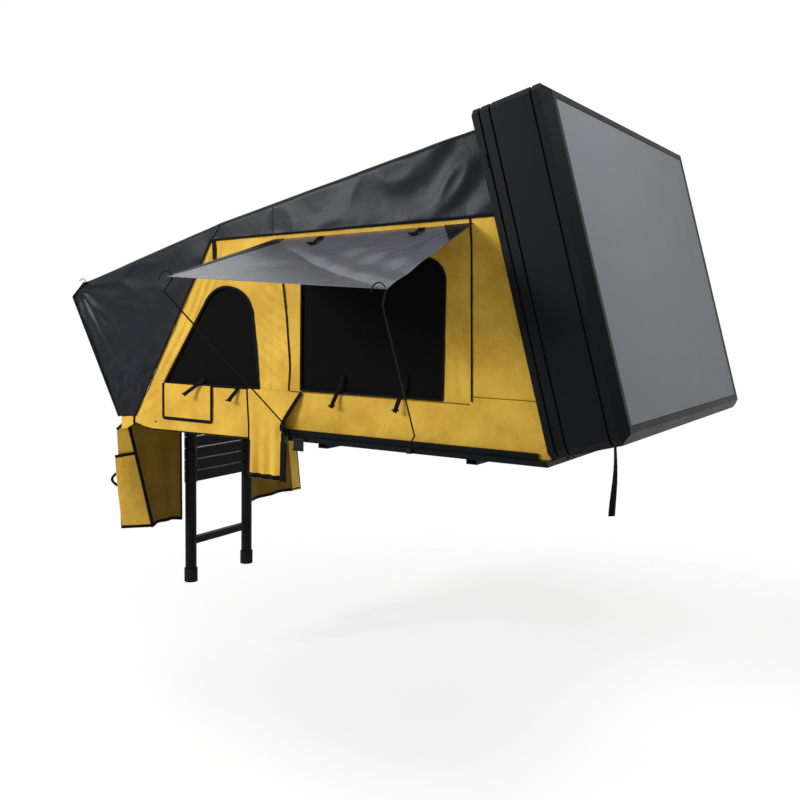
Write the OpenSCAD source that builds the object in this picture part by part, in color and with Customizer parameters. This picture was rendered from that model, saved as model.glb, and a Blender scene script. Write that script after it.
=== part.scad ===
// Fold-out roof tent with a hard lid, shown open. Millimetres, +Z up.
// The origin is the middle of the base, on the underside of the mounting rails.
// -X is the entrance end with the ladder, +X is the lid's hinge end, -Y is the awning side.

/* [Shell] */
// Length of the closed shell, entrance end to hinge end
shell_l = 1450; // [1350:10:1550]
// Width of the closed shell
shell_w = 1930; // [1830:10:2030]
// Height of the lid's straight side wall
lid_h = 300; // [270:5:330]
// Bevel round the lid's outer face
lid_bevel = 38; // [20:1:46]
// Cut across the lid's upright corners
lid_corner = 28; // [15:1:40]
// Thickness of the lid's walls
lid_wall = 25; // [20:1:30]
// Border of the lid's outer face round its skin panel
skin_border = 28; // [20:1:70]
// Angle that the lid turns between closed and open
lid_open = 74.4; // [70:0.2:78]

/* [Base] */
// Height of the mounting rails
rail_h = 22; // [18:1:30]
// Width of a mounting rail
rail_w = 50; // [40:1:70]
// Distance between the two mounting rails
rail_gap = 760; // [600:10:860]
// Distance between a rail's two mounting bolts
bolt_gap = 1100; // [900:10:1300]
// Diameter of the mounting bolt holes
bolt_hole = 8.5; // [6.5:0.5:10.5]
// Thickness of the tray's floor plate
tray_t = 6; // [4:0.5:8]
// Height of the tray's edge beam
beam_h = 22; // [20:1:30]
// Width of the tray's edge beam
beam_w = 40; // [35:1:50]
// Height of the fabric upstand above the edge beam
upstand_h = 26; // [20:1:32]

/* [Bed] */
// Thickness of the base's floor board
board_t = 15; // [10:1:20]
// Thickness of the mattress
mattress_t = 55; // [40:1:60]
// Length of the fold-out floor panel
floor_l = 955; // [900:5:1000]
// Thickness of the fold-out floor panel
floor_t = 20; // [16:1:24]

/* [Canopy] */
// Thickness of the canopy's cloth as a solid
cloth_t = 4; // [3:0.5:5]
// Lean of the roof bow beyond upright, towards the entrance
bow_lean = 13.9; // [12:0.1:16]
// Length of the roof bow from its pivot to its crossbar
bow_l = 996; // [960:1:1030]
// Diameter of the roof bow's tube
bow_d = 16; // [12:1:20]
// Reach of the hood beyond the end of the fold-out floor
hood_reach = 275; // [250:5:420]
// Height of the hood's front edge
hood_z = 757; // [700:1:820]
// Width of the side window in the base's wall
window_w = 750; // [600:10:800]
// Height of that window
window_h = 600; // [500:10:620]
// Length of the window awning, out from the wall
awning_l = 725; // [650:5:780]
// Slope of the open awning below level, at its entrance end
awning_slope = 15.6; // [10:0.1:18]
// Drop of the skirts that hang from the fold-out floor
skirt_drop = 620; // [450:10:700]

/* [Ladder] */
// Distance between the ladder's stiles
stile_gap = 493; // [420:1:520]
// Outer diameter of the narrowest stile
stile_d = 40; // [36:1:42]
// Growth of the stile's diameter from one section to the next
stile_step = 6; // [6:0.5:7]
// Pitch of the stacked rungs when the ladder is closed
rung_pitch = 66; // [60:1:80]
// Length of the ladder's bottom section
bottom_l = 639; // [580:1:660]
// Travel of each ladder section
ladder_travel = 280; // [240:5:300]

/* [Hidden] */
$fn = 48;

black = "#17181b";
alloy = "#8d9196";
yellow = "#c99a22";
net_black = "#101010";

// Running clearance on a pin's radius
pin_run = 0.05;
// Clearance between pieces that move past each other
gap = 0.3;
// Overrun of a cutting shape past the surface that it cuts
cut = 1;

half_l = shell_l / 2;
half_w = shell_w / 2;
tray_top = rail_h + tray_t;
beam_top = rail_h + beam_h;
upstand_t = 10;
upstand_inset = lid_wall + lid_corner + 5;
beam_in = half_w - beam_w;
rim_gap = 1;
rim_z = beam_top + rim_gap;
floor_z = tray_top + board_t;
bed_z = floor_z + mattress_t;

// Lid hinge: the axis lies just outside the rear beam, level with the rim
hinge_out = 8;
hinge_x = half_l + hinge_out;
hinge_z = rim_z;
hinge_ys = [-0.72 * half_w, 0, 0.72 * half_w];
leaf_t = 2.5;
knuckle_d = 13;
lid_pin_d = 7;
knuckle_l = 34;
leaf_h = 17;
lid_leaf_h = 31;
leaf_lift = 2;
knuckle_gap = 0.5;

// Place in the open lid of a point that lies u from the hinge end and w above the rim when closed
function lid_pt(u, w) = let(dx = half_l - u - hinge_x, dz = rim_z + w - hinge_z)
    [hinge_x + dx * cos(lid_open) + dz * sin(lid_open), hinge_z - dx * sin(lid_open) + dz * cos(lid_open)];

// Floor fold: a raised axis inside the lid's entrance wall, with arms that pass under its rim
fold_x = -half_l + lid_wall + 25;
fold_z = bed_z + 14;
fold_pin_d = 12;
fold_boss_r = 14;
floor_x = -half_l - 10;
floor_end = floor_x - floor_l;
wall_out = beam_in - 0.5;
wall_in = wall_out - cloth_t;
arm_t = 8;
arm_out = wall_in - 7.5;
arm_in = arm_out - arm_t;
arm_lap = 90;
floor_half_w = arm_in;
bracket_out = arm_in - 1;
bracket_in = bracket_out - 10;
board_half_w = bracket_in - 4;
bow_y = bracket_in - 14;
strut_y = bow_y - 30;
bed_half_w = strut_y - 17;

// Roof bow: pivots on the fold-out floor and leans over the entrance
bow_x = floor_x - 35;
bow_z = floor_z + 17;
bow_pin_d = 8;
bow_eye_d = bow_d + 6;
bow_eye = bow_d / 2 + 1;
bow_top = [bow_x - bow_l * sin(bow_lean), bow_z + bow_l * cos(bow_lean)];

// Canopy outline in the side view
split_x = fold_x - 20;
seam_gap = 2;
roof_drop = 65;
roof_in = 14;
roof_lid = lid_pt(shell_l - roof_drop, roof_in);
ridge = [bow_top[0] - 12, bow_top[1] + bow_d / 2 + cloth_t + gap + 2];
function roof_z(x) = ridge[1] + (x - ridge[0]) * (roof_lid[1] - ridge[1]) / (roof_lid[0] - ridge[0]);
fly_drop = 85;
fly_lid = lid_pt(shell_l - 442, 0);
function fly_z(x) = ridge[1] - fly_drop + (x - ridge[0]) * (fly_lid[1] - ridge[1] + fly_drop)
    / (fly_lid[0] - ridge[0]);
hood_tip = [floor_end - hood_reach, hood_z];
hood_lip = [93, 84];
door_foot = [floor_end + 95, floor_z + 20];
door_head = [ridge[0] - 52, ridge[1] - fly_drop];
door_lean = (door_head[0] - door_foot[0]) / (door_head[1] - door_foot[1]);
function door_x(z) = door_foot[0] + (z - door_foot[1]) * door_lean;
hood_foot = [floor_end - 28, floor_z + 6];
wall_foot = beam_top;
fly_out = wall_out + gap + cloth_t;

// Side windows
sill_z = floor_z + 214;
window_x = -0.21 * half_l;
window_r = 100;
net_t = 2;
net_lap = 25;
flap_t = 3;
// Outline of the window over the fold-out floor, from the panel's end and its top face
floor_window = [for (p = [[300, 200], [917, 206], [878, 567], [845, 629], [790, 671], [715, 687], [650, 674],
    [598, 637], [564, 589]]) [floor_end, floor_z] + p];

// Awning over the near window
awning_x = [split_x + 14, 0.4786 * half_l];
awning_z = [fly_z(awning_x[0]) - 22, fly_z(awning_x[1]) - 23];
awning_turn = 7.5;
awning_y = -wall_out - gap;
awning_t = 3;
rod_d = 7;
rod_out = half_w + 8;
rod_foot = [for (x = [fold_x + 0.0765 * shell_l, 0.127 * half_l]) [x, -rod_out, beam_top - 8]];

// Lid struts
strut_base = [half_l - 105, floor_z + 32];
strut_lid_u = 280;
strut_lid_w = 105;
strut_lid = lid_pt(strut_lid_u, strut_lid_w);
strut_vec = strut_lid - strut_base;
strut_len = norm(strut_vec);
strut_rise = atan2(strut_vec[1], strut_vec[0]);
strut_tube_l = 0.545 * strut_len;
strut_d = 18;
strut_rod_d = 8;
strut_eye = 8;
stud_d = 8;

// Latches on the tray's sides
latch_x = -half_l + 225;
latch_w = 56;
latch_z = beam_top - 12;
latch_y = half_w + 9;
latch_l = 52;
latch_pin_d = 5;

// Ladder under the end of the fold-out floor
ladder_x = floor_end + 22;
ladder_y = -190;
ladder_z = floor_z - floor_t - 44;
ladder_pin_d = 12;
ear_t = 8;
sections = 4;
collar_d = stile_d + stile_step * sections + 8;
collar_gap = 6;
collar_h = rung_pitch - collar_gap;
low_rung_h = 40;
rung_space = 8;
rung_h = rung_pitch - rung_space;
rung_w = 34;
tube_wall = 2;
first_rung = ladder_z - 54;
bottom_top = first_rung - rung_pitch * sections + collar_h / 2;
ladder_foot = bottom_top - bottom_l;
foot_d = collar_d + 4;
foot_h = 78;
foot_sole = 4;

// Both sides of the part that mirrors across the middle
module both() {
    children();
    mirror([0, 1, 0]) children();
}

// Places the lid, drawn closed, in its open position
module open_lid() {
    translate([hinge_x, 0, hinge_z]) rotate([0, lid_open, 0]) translate([-hinge_x, 0, -hinge_z]) children();
}

// Plate of an outline in the side view, between two depths
module side_plate(y0, y1) {
    translate([0, y1, 0]) rotate([90, 0, 0]) linear_extrude(y1 - y0) children();
}

// Straight round bar between two points
module bar(p, q, d) {
    v = q - p;
    translate(p) rotate([0, acos(v[2] / norm(v)), atan2(v[1], v[0])]) cylinder(h = norm(v), d = d);
}

// Round bar across the part, along Y
module y_bar(x, z, y0, y1, d) {
    translate([x, y0, z]) rotate([-90, 0, 0]) cylinder(h = y1 - y0, d = d);
}

// Closed sheet of cloth: point(u, v) gives its face, and back is the way through its thickness
module cloth(nu, nv, back, point) {
    face = [for (i = [0 : nu]) for (j = [0 : nv]) point(i / nu, j / nv)];
    rear = [for (p = face) p + back];
    n = len(face);
    function at(i, j) = i * (nv + 1) + j;
    quads = [for (i = [0 : nu - 1]) for (j = [0 : nv - 1])
        [at(i, j), at(i + 1, j), at(i + 1, j + 1), at(i, j + 1)]];
    rim = concat([for (i = [0 : nu - 1]) at(i, 0)], [for (j = [0 : nv - 1]) at(nu, j)],
        [for (i = [nu : -1 : 1]) at(i, nv)], [for (j = [nv : -1 : 1]) at(0, j)]);
    m = len(rim);
    sides = concat(
        [for (q = quads) each [[q[0], q[1], q[2]], [q[0], q[2], q[3]]]],
        [for (q = quads) each [[q[2] + n, q[1] + n, q[0] + n], [q[3] + n, q[2] + n, q[0] + n]]],
        [for (k = [0 : m - 1]) let(a = rim[k], b = rim[(k + 1) % m]) each
            [[a, a + n, b + n], [a, b + n, b]]]);
    o = point(0, 0);
    inward = cross(point(1, 0) - o, point(0, 1) - o) * back > 0;
    polyhedron(concat(face, rear), inward ? sides : [for (f = sides) [f[2], f[1], f[0]]]);
}

// Mounting rail across the base, with two bolt holes
module rail(x) {
    inset = 15;
    wall = 4;
    color(black) difference() {
        translate([x - rail_w / 2, -half_w + inset, 0]) cube([rail_w, shell_w - 2 * inset, rail_h]);
        translate([x - rail_w / 2 + wall, -half_w, wall])
            cube([rail_w - 2 * wall, shell_w, rail_h - 2 * wall]);
        for (s = [-1, 1])
            translate([x, s * bolt_gap / 2, -cut]) cylinder(h = rail_h / 2 + cut, d = bolt_hole);
    }
}

module rail_entrance() { rail(-rail_gap / 2); }
module rail_hinge_end() { rail(rail_gap / 2); }

module tray() {
    color(black) union() {
        translate([-half_l, -beam_in, rail_h]) cube([shell_l, 2 * beam_in, tray_t]);
        translate([half_l - lid_wall, -beam_in, rail_h]) cube([lid_wall, 2 * beam_in, beam_h]);
        both() {
            translate([-half_l, -half_w, rail_h]) cube([shell_l, beam_w, beam_h]);
            translate([-half_l + upstand_inset, -beam_in - upstand_t, rail_h])
                cube([shell_l - 2 * upstand_inset, upstand_t, beam_h + upstand_h]);
        }
    }
}

module floor_board() {
    x0 = fold_x - 15;
    x1 = half_l - lid_wall - 10;
    color("#b9b4a8") translate([x0, -board_half_w, tray_top]) cube([x1 - x0, 2 * board_half_w, board_t]);
}

// Mattress block with eased edges along its length
module mattress(x0, x1) {
    r = 14;
    color("#6d6f72") translate([x0, 0, 0]) rotate([90, 0, 90]) linear_extrude(x1 - x0)
        union() {
            translate([-bed_half_w + r, floor_z + gap]) square([2 * (bed_half_w - r), mattress_t - gap]);
            translate([-bed_half_w, floor_z + gap + r])
                square([2 * bed_half_w, mattress_t - gap - 2 * r]);
            for (s = [-1, 1]) for (z = [floor_z + gap + r, bed_z - r])
                translate([s * (bed_half_w - r), z]) circle(r);
        }
}

module base_mattress() { mattress(fold_x + 4, half_l - lid_wall - 40); }
module floor_mattress() { mattress(door_x(bed_z) + 2 * cloth_t, floor_x - 8); }

// One hinge leaf of the lid's hinge: a plate on the outer face and a knuckle on the axis
module hinge_leaf(y, l, z0, z1, bore) {
    difference() {
        union() {
            translate([half_l, y, z0]) cube([leaf_t, l, z1 - z0]);
            y_bar(hinge_x, hinge_z, y, y + l, knuckle_d);
        }
        y_bar(hinge_x, hinge_z, y - cut, y + l + cut, bore);
    }
}

module lid_hinge_leaves() {
    top = hinge_z - leaf_lift;
    step = knuckle_l + knuckle_gap;
    color(black) for (y = hinge_ys) for (s = [-1, 1])
        hinge_leaf(y + s * step - knuckle_l / 2, knuckle_l, top - leaf_h, top, lid_pin_d);
}

module lid_hinge_pins() {
    reach = 1.5 * knuckle_l + 1;
    color(alloy) for (y = hinge_ys) y_bar(hinge_x, hinge_z, y - reach, y + reach, lid_pin_d);
}

module lid_leaves() {
    low = hinge_z + leaf_lift;
    color(black) open_lid() for (y = hinge_ys)
        hinge_leaf(y - knuckle_l / 2, knuckle_l, low, low + lid_leaf_h, lid_pin_d + 2 * pin_run);
}

// Upright plate on the tray that carries the floor's raised fold axis
module fold_brackets() {
    foot_back = 24;
    foot_l = 60;
    foot_rise = 40;
    color(black) both() difference() {
        side_plate(bracket_in, bracket_out) union() {
            translate([fold_x - foot_back, tray_top]) square([foot_l, foot_rise]);
            translate([fold_x - fold_boss_r, tray_top]) square([2 * fold_boss_r, fold_z - tray_top]);
            translate([fold_x, fold_z]) circle(fold_boss_r);
        }
        y_bar(fold_x, fold_z, bracket_in - cut, bracket_out + cut, fold_pin_d);
    }
}

module fold_pins() {
    color(alloy) both() y_bar(fold_x, fold_z, bracket_in - 3, arm_out + 2, fold_pin_d);
}

// Goose-neck arm: from the raised axis down and under the closed lid's rim to the fold-out floor
module fold_arms() {
    arm_low = tray_top + 2;
    arm_top = beam_top - 3;
    neck_w = 24;
    color(black) both() difference() {
        side_plate(arm_in, arm_out) union() {
            translate([fold_x, fold_z]) circle(fold_boss_r);
            translate([fold_x - fold_boss_r, arm_low]) square([neck_w, fold_z - arm_low]);
            translate([floor_x - arm_lap, arm_low]) square([fold_x - floor_x + arm_lap, arm_top - arm_low]);
        }
        y_bar(fold_x, fold_z, arm_in - cut, arm_out + cut, fold_pin_d + 2 * pin_run);
    }
}

// Fold-out floor panel; its edge rails, clear of the arms, carry the canopy's sides
module fold_floor() {
    low = floor_z - floor_t;
    rail_end = floor_l - arm_lap - 10;
    edge = wall_in - gap;
    color(black) union() {
        translate([floor_end, -floor_half_w, low]) cube([floor_l, 2 * floor_half_w, floor_t]);
        translate([floor_end, -edge, low]) cube([rail_end, 2 * edge, floor_t]);
    }
}

module bow_brackets() {
    y0 = bow_y + bow_eye + 0.5;
    plate_t = 5;
    foot_l = 40;
    foot_rise = 10;
    color(black) both() difference() {
        side_plate(y0, y0 + plate_t) union() {
            translate([bow_x - foot_l / 2, floor_z]) square([foot_l, foot_rise]);
            translate([bow_x, bow_z]) circle(d = bow_eye_d);
            translate([bow_x - bow_eye_d / 2, floor_z]) square([bow_eye_d, bow_z - floor_z]);
        }
        y_bar(bow_x, bow_z, y0 - cut, y0 + plate_t + cut, bow_pin_d);
    }
}

module bow_pins() {
    color(alloy) both() y_bar(bow_x, bow_z, bow_y - bow_eye - 1, bow_y + bow_eye + 6, bow_pin_d);
}

// Inverted U of round tube with cut corners and an eye at each foot, drawn upright and then leaned over
module roof_bow() {
    bend = 90;
    knee_d = bow_d + 1;
    color(alloy) translate([bow_x, 0, bow_z]) rotate([0, -bow_lean, 0]) union() {
        both() {
            difference() {
                union() {
                    y_bar(0, 0, bow_y - bow_eye, bow_y + bow_eye, bow_eye_d);
                    translate([0, bow_y, 0]) cylinder(h = bow_l - bend, d = bow_d);
                }
                y_bar(0, 0, bow_y - bow_eye - cut, bow_y + bow_eye + cut, bow_pin_d + 2 * pin_run);
            }
            bar([0, bow_y, bow_l - bend], [0, bow_y - bend, bow_l], bow_d);
            translate([0, bow_y, bow_l - bend]) sphere(d = knee_d);
            translate([0, bow_y - bend, bow_l]) sphere(d = knee_d);
        }
        y_bar(0, bow_l, -bow_y + bend, bow_y - bend, bow_d);
    }
}

// Lid outline from above, drawn in by a margin
module lid_plan(in) {
    x = half_l - in;
    y = half_w - in;
    c = lid_corner;
    polygon([[-x + c, -y], [x - c, -y], [x, -y + c], [x, y - c], [x - c, y], [-x + c, y], [-x, y - c],
        [-x, -y + c]]);
}

// Outside of the closed lid: straight walls, cut corners and a bevel round the outer face
module lid_outside() {
    top = rim_z + lid_h + lid_bevel;
    edge = rim_z + lid_h;
    b = lid_bevel;
    intersection() {
        translate([0, 0, rim_z]) linear_extrude(lid_h + lid_bevel) lid_plan(0);
        side_plate(-half_w, half_w) polygon([[-half_l, rim_z], [half_l, rim_z], [half_l, edge],
            [half_l - b, top], [-half_l + b, top], [-half_l, edge]]);
        translate([-half_l, 0, 0]) rotate([90, 0, 90]) linear_extrude(shell_l) polygon([[-half_w, rim_z],
            [half_w, rim_z], [half_w, edge], [half_w - b, top], [-half_w + b, top], [-half_w, edge]]);
    }
}

seal_w = 9;
seal_h = 5;
skin_t = 6;
skin_low = 2;
skin_ledge = 30;
skin_joint = 2;
lid_top_t = 24;
seal_stand = 0.6;
skin_edge = lid_bevel + skin_border;
groove_w = 9;
groove_d = 8;
grooves = [34, 81, 263];

module lid_frame() {
    top = rim_z + lid_h + lid_bevel;
    color(black) open_lid() difference() {
        lid_outside();
        translate([0, 0, rim_z - cut]) linear_extrude(lid_h + lid_bevel - lid_top_t + cut) lid_plan(lid_wall);
        translate([-half_l + skin_edge, -half_w + skin_edge, top - skin_t - skin_low])
            cube([shell_l - 2 * skin_edge, shell_w - 2 * skin_edge, skin_t + skin_low + cut]);
        translate([-half_l + skin_edge + skin_ledge, -half_w + skin_edge + skin_ledge, rim_z])
            cube([shell_l - 2 * (skin_edge + skin_ledge), shell_w - 2 * (skin_edge + skin_ledge), 2 * lid_h]);
        for (w = grooves) translate([0, 0, rim_z + w - groove_w / 2]) linear_extrude(groove_w)
            difference() {
                square([2 * shell_l, 2 * shell_w], center = true);
                lid_plan(groove_d);
            }
        translate([0, 0, rim_z - cut]) linear_extrude(seal_h + cut) difference() {
            lid_plan((lid_wall - seal_w) / 2);
            lid_plan((lid_wall + seal_w) / 2);
        }
    }
}

module lid_skin() {
    m = skin_edge + skin_joint;
    color("#4c4e52") open_lid()
        translate([-half_l + m, -half_w + m, rim_z + lid_h + lid_bevel - skin_t - skin_low])
            cube([shell_l - 2 * m, shell_w - 2 * m, skin_t]);
}

module lid_seal() {
    color("#202020") open_lid() translate([0, 0, rim_z - seal_stand]) linear_extrude(seal_h + seal_stand)
        difference() {
            lid_plan((lid_wall - seal_w) / 2);
            lid_plan((lid_wall + seal_w) / 2);
        }
}

// Strut anchors: a stud on a plate that stands on the tray, and one on the lid's side wall
module strut_anchors() {
    plate_y = strut_y + strut_eye + 3;
    plate_t = 5;
    foot_l = 44;
    color(black) both() union() {
        side_plate(plate_y, plate_y + plate_t) union() {
            translate([strut_base[0] - foot_l / 2, floor_z]) square([foot_l, strut_base[1] - floor_z]);
            translate(strut_base) circle(d = 28);
        }
        y_bar(strut_base[0], strut_base[1], strut_y - strut_eye - 1, plate_y + 1, stud_d);
    }
}

module lid_strut_anchors() {
    x = half_l - strut_lid_u;
    z = rim_z + strut_lid_w;
    y1 = half_w - lid_wall;
    plate = [50, 5, 40];
    color(black) open_lid() both() union() {
        translate([x - plate[0] / 2, y1 - plate[1], z - plate[2] / 2]) cube(plate);
        y_bar(x, z, strut_y + strut_eye + 0.5, y1 - plate[1] + 1, 16);
    }
}

// Frame of a strut: the base pivot at the origin and the strut along +X
module along_strut(s) {
    translate([strut_base[0], s * strut_y, strut_base[1]]) rotate([0, -strut_rise, 0]) children();
}

module strut_tube(s) {
    bore_from = 14;
    color(black) along_strut(s) difference() {
        union() {
            rotate([-90, 0, 0]) translate([0, 0, -strut_eye]) cylinder(h = 2 * strut_eye, d = strut_d + 2);
            rotate([0, 90, 0]) cylinder(h = strut_tube_l, d = strut_d);
        }
        rotate([-90, 0, 0]) translate([0, 0, -strut_eye - cut])
            cylinder(h = 2 * (strut_eye + cut), d = stud_d + 2 * pin_run);
        translate([bore_from, 0, 0]) rotate([0, 90, 0])
            cylinder(h = strut_tube_l, d = strut_rod_d + 2 * pin_run);
    }
}

module strut_rod(s) {
    overlap = 15;
    color("#c3c6c9") along_strut(s) union() {
        translate([strut_tube_l - overlap, 0, 0]) rotate([0, 90, 0])
            cylinder(h = strut_len - strut_tube_l + overlap, d = strut_rod_d);
        translate([strut_len, 0, 0]) rotate([-90, 0, 0]) translate([0, 0, -strut_eye])
            cylinder(h = 2 * strut_eye, d = strut_d);
    }
}

module strut_tube_near() { strut_tube(-1); }
module strut_tube_far() { strut_tube(1); }
module strut_rod_near() { strut_rod(-1); }
module strut_rod_far() { strut_rod(1); }

// Latches: a bearing plate on the tray, a lever that hangs from it, and a keeper on the lid
module latch_plates() {
    plate = [latch_w + 28, 3, 18];
    ear = [7, 12, 10];
    ear_x = latch_w / 2 + 1.5;
    color(black) both() union() {
        translate([latch_x - plate[0] / 2, half_w, latch_z - plate[2] / 2]) cube(plate);
        translate([latch_x + ear_x, half_w, latch_z - ear[2] / 2]) cube(ear);
        translate([latch_x - ear_x - ear[0], half_w, latch_z - ear[2] / 2]) cube(ear);
        translate([latch_x - ear_x - 1, latch_y, latch_z]) rotate([0, 90, 0])
            cylinder(h = 2 * ear_x + 2, d = latch_pin_d);
    }
}

module latch_lever() {
    lever_t = 4;
    lever_back = 1.5;
    lip = [latch_w, 6, 8];
    x0 = latch_x - latch_w / 2;
    color(black) difference() {
        union() {
            translate([x0, latch_y, latch_z]) rotate([0, 90, 0]) cylinder(h = latch_w, d = 10);
            translate([x0, latch_y - lever_back, latch_z - latch_l]) cube([latch_w, lever_t, latch_l]);
            translate([x0, latch_y + 2, latch_z - latch_l]) cube(lip);
        }
        translate([x0 - cut, latch_y, latch_z]) rotate([0, 90, 0])
            cylinder(h = latch_w + 2 * cut, d = latch_pin_d + 2 * pin_run);
    }
}

module latch_near() { mirror([0, 1, 0]) latch_lever(); }
module latch_far() { latch_lever(); }

module latch_keepers() {
    keeper = [latch_w, 4, 12];
    keeper_w = 14;
    color(black) open_lid() both()
        translate([latch_x - latch_w / 2, half_w, rim_z + keeper_w]) cube(keeper);
}

// Outline of the canopy's side on the base: tray to roof, entrance seam to lid
module base_side() {
    rim_clear = -4;
    entry = lid_wall + lid_corner - 8;
    polygon([[split_x, wall_foot], [half_l - 7, wall_foot], lid_pt(2, rim_clear), lid_pt(entry, rim_clear),
        lid_pt(entry + 10, roof_in), roof_lid - [0, cloth_t + gap],
        [split_x, roof_z(split_x) - cloth_t - gap]]);
}

// Rounded window outline in the base's side wall
module base_window(lap) {
    w = window_w / 2 + lap;
    z0 = sill_z - lap;
    h = window_h + 2 * lap;
    r = window_r + lap;
    translate([window_x, z0]) union() {
        translate([-w, 0]) square([2 * w, h - r]);
        translate([-w + r, 0]) square([2 * (w - r), h]);
        for (s = [-1, 1]) translate([s * (w - r), h - r]) circle(r);
    }
}

module base_wall() {
    color(yellow) side_plate(wall_in, wall_out) difference() {
        base_side();
        base_window(0);
    }
}

module wall_near() { mirror([0, 1, 0]) base_wall(); }
module wall_far() { base_wall(); }

module base_net() { color(net_black) side_plate(wall_in - net_t, wall_in) base_window(net_lap); }
module window_net_near() { mirror([0, 1, 0]) base_net(); }
module window_net_far() { base_net(); }

// Black fly over the base: a roof sheet whose sides hang over the walls
module roof_fly() {
    end = roof_lid;
    x = split_x;
    rim_clear = 12;
    hem_x = fly_lid[0] - rim_clear;
    color(black) union() {
        side_plate(-fly_out, fly_out)
            polygon([[x, roof_z(x) - cloth_t], end - [0, cloth_t], end, [x, roof_z(x)]]);
        both() side_plate(fly_out - cloth_t, fly_out) polygon([[x, fly_z(x)], [hem_x, fly_z(hem_x)],
            lid_pt(shell_l - roof_drop, -rim_clear), end, [x, roof_z(x)]]);
    }
}

// Side of the canopy on the fold-out floor, with the door seam leaning over the entrance
module floor_side() {
    x = split_x - seam_gap;
    low = floor_z - floor_t - 6;
    tray_end = -half_l - 2;
    polygon([[x, tray_top + 2], [x, roof_z(x) - cloth_t - gap], [ridge[0], ridge[1] - cloth_t - gap],
        door_head, door_foot, door_foot - [0, 30], [tray_end, low], [tray_end, tray_top + 2]]);
}

module floor_wall() {
    color(yellow) side_plate(wall_in, wall_out) difference() {
        floor_side();
        polygon(floor_window);
    }
}

module floor_wall_near() { mirror([0, 1, 0]) floor_wall(); }
module floor_wall_far() { floor_wall(); }

module floor_net() {
    color(net_black) side_plate(wall_in - net_t, wall_in) offset(delta = net_lap) polygon(floor_window);
}
module floor_net_near() { mirror([0, 1, 0]) floor_net(); }
module floor_net_far() { floor_net(); }

// Black hood: the roof from the seam over the bow to the tip, and its two sides down to the floor
module hood() {
    x = split_x - seam_gap;
    lip_run = cloth_t * norm(hood_lip) / hood_lip[1];
    color(black) union() {
        side_plate(-fly_out, fly_out) polygon([[x, roof_z(x)], ridge, hood_tip, hood_tip - hood_lip,
            hood_tip - hood_lip + [lip_run, 0], hood_tip + [cloth_t, -cloth_t], ridge - [0, cloth_t],
            [x, roof_z(x) - cloth_t]]);
        both() side_plate(fly_out - cloth_t, fly_out) union() {
            polygon([[x, roof_z(x)], ridge, door_head, [x, fly_z(x)]]);
            polygon([ridge, hood_tip, hood_tip - hood_lip, hood_foot, door_foot - [0, 4],
                door_head]);
        }
    }
}

// Entrance wall across the tent, along the leaning seam, with its doorway
module door_wall() {
    half = wall_in - gap;
    low = floor_z + gap;
    high = door_head[1] - 6;
    thick = cloth_t * sqrt(1 + door_lean * door_lean);
    doorway_w = 1000;
    sill = low + 110;
    lintel = high - 110;
    color(yellow) difference() {
        side_plate(-half, half) polygon([[door_x(low), low], [door_x(low) + thick, low],
            [door_x(high) + thick, high], [door_x(high), high]]);
        translate([door_x(low), -doorway_w / 2, sill])
            cube([door_x(high) - door_x(low), doorway_w, lintel - sill]);
    }
}

module side_pocket() {
    pocket = [312, 3, 165];
    color(yellow) translate([floor_end + 300, -wall_out - gap - pocket[1], floor_z + 32]) cube(pocket);
}

// Flap of cloth that hangs over the floor's fold on each side, with three soft pleats
module hinge_flap() {
    x0 = fold_x - 174;
    x1 = fold_x + 159;
    draw_left = 48;
    draw_right = 88;
    top = floor_z + 202;
    low = floor_z - 215;
    knee = beam_top + 40;
    y0 = wall_out + gap + flap_t;
    y1 = half_w + 3 + flap_t;
    pleats = 3;
    pleat = 5;
    color(yellow) cloth(24, 16, [0, -flap_t, 0], function(u, v) let(
        z = top + (low - top) * v,
        s = min(1, (top - z) / (top - knee)),
        fold = pleat * (1 - cos(360 * pleats * u)) * v)
        [x0 + draw_left * s + (x1 - x0 - (draw_left + draw_right) * s) * u, y0 + (y1 - y0) * s + fold, z]);
}

module hinge_flap_near() { mirror([0, 1, 0]) hinge_flap(); }
module hinge_flap_far() { hinge_flap(); }

// Skirts that hang from the end of the fold-out floor, with upright folds that open towards the hem
skirt_top = floor_z - 6;
skirt_x = floor_end - flap_t - gap;
skirt_fold = 9;
hem_rise = 12;
ladder_clear = stile_gap / 2 + foot_d / 2 + 10;

// Near skirt: it turns at a leaning seam, and its outer wing runs from there out to the side
module skirt_near() {
    seam_top = -floor_half_w + 15;
    seam_low = -floor_half_w + 196;
    wing = [55, 164];
    wing_drop = 54;
    wing_way = [-0.68, -0.73];
    wing_share = 0.3;
    folds = 2;
    y_end = ladder_y - ladder_clear;
    color("#8f6d16") cloth(30, 10, [flap_t, 0, 0], function(u, v) let(
        out = max(0, 1 - u / wing_share),
        k = max(0, u - wing_share) / (1 - wing_share),
        reach = out * (wing[0] + (wing[1] - wing[0]) * v),
        y_seam = seam_top + (seam_low - seam_top) * v,
        z_top = skirt_top - wing_drop * out,
        z_low = skirt_top - skirt_drop + hem_rise * sin(180 * k))
        [skirt_x - skirt_fold * v * (1 - cos(360 * folds * k)) + wing_way[0] * reach,
            y_seam + (y_end - y_seam) * k + wing_way[1] * reach, z_top + (z_low - z_top) * v]);
}

// Far skirt: its outer edge leans out towards the hem
module skirt_far() {
    y0 = ladder_y + ladder_clear;
    y_top = 0.605 * floor_half_w;
    y_low = 0.737 * floor_half_w;
    folds = 2.5;
    color("#8f6d16") cloth(30, 10, [flap_t, 0, 0], function(u, v)
        [skirt_x - skirt_fold * v * (1 - cos(360 * folds * u)), y0 + (y_top + (y_low - y_top) * v - y0) * u,
            skirt_top - (skirt_drop - hem_rise * sin(180 * u)) * v]);
}

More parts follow.
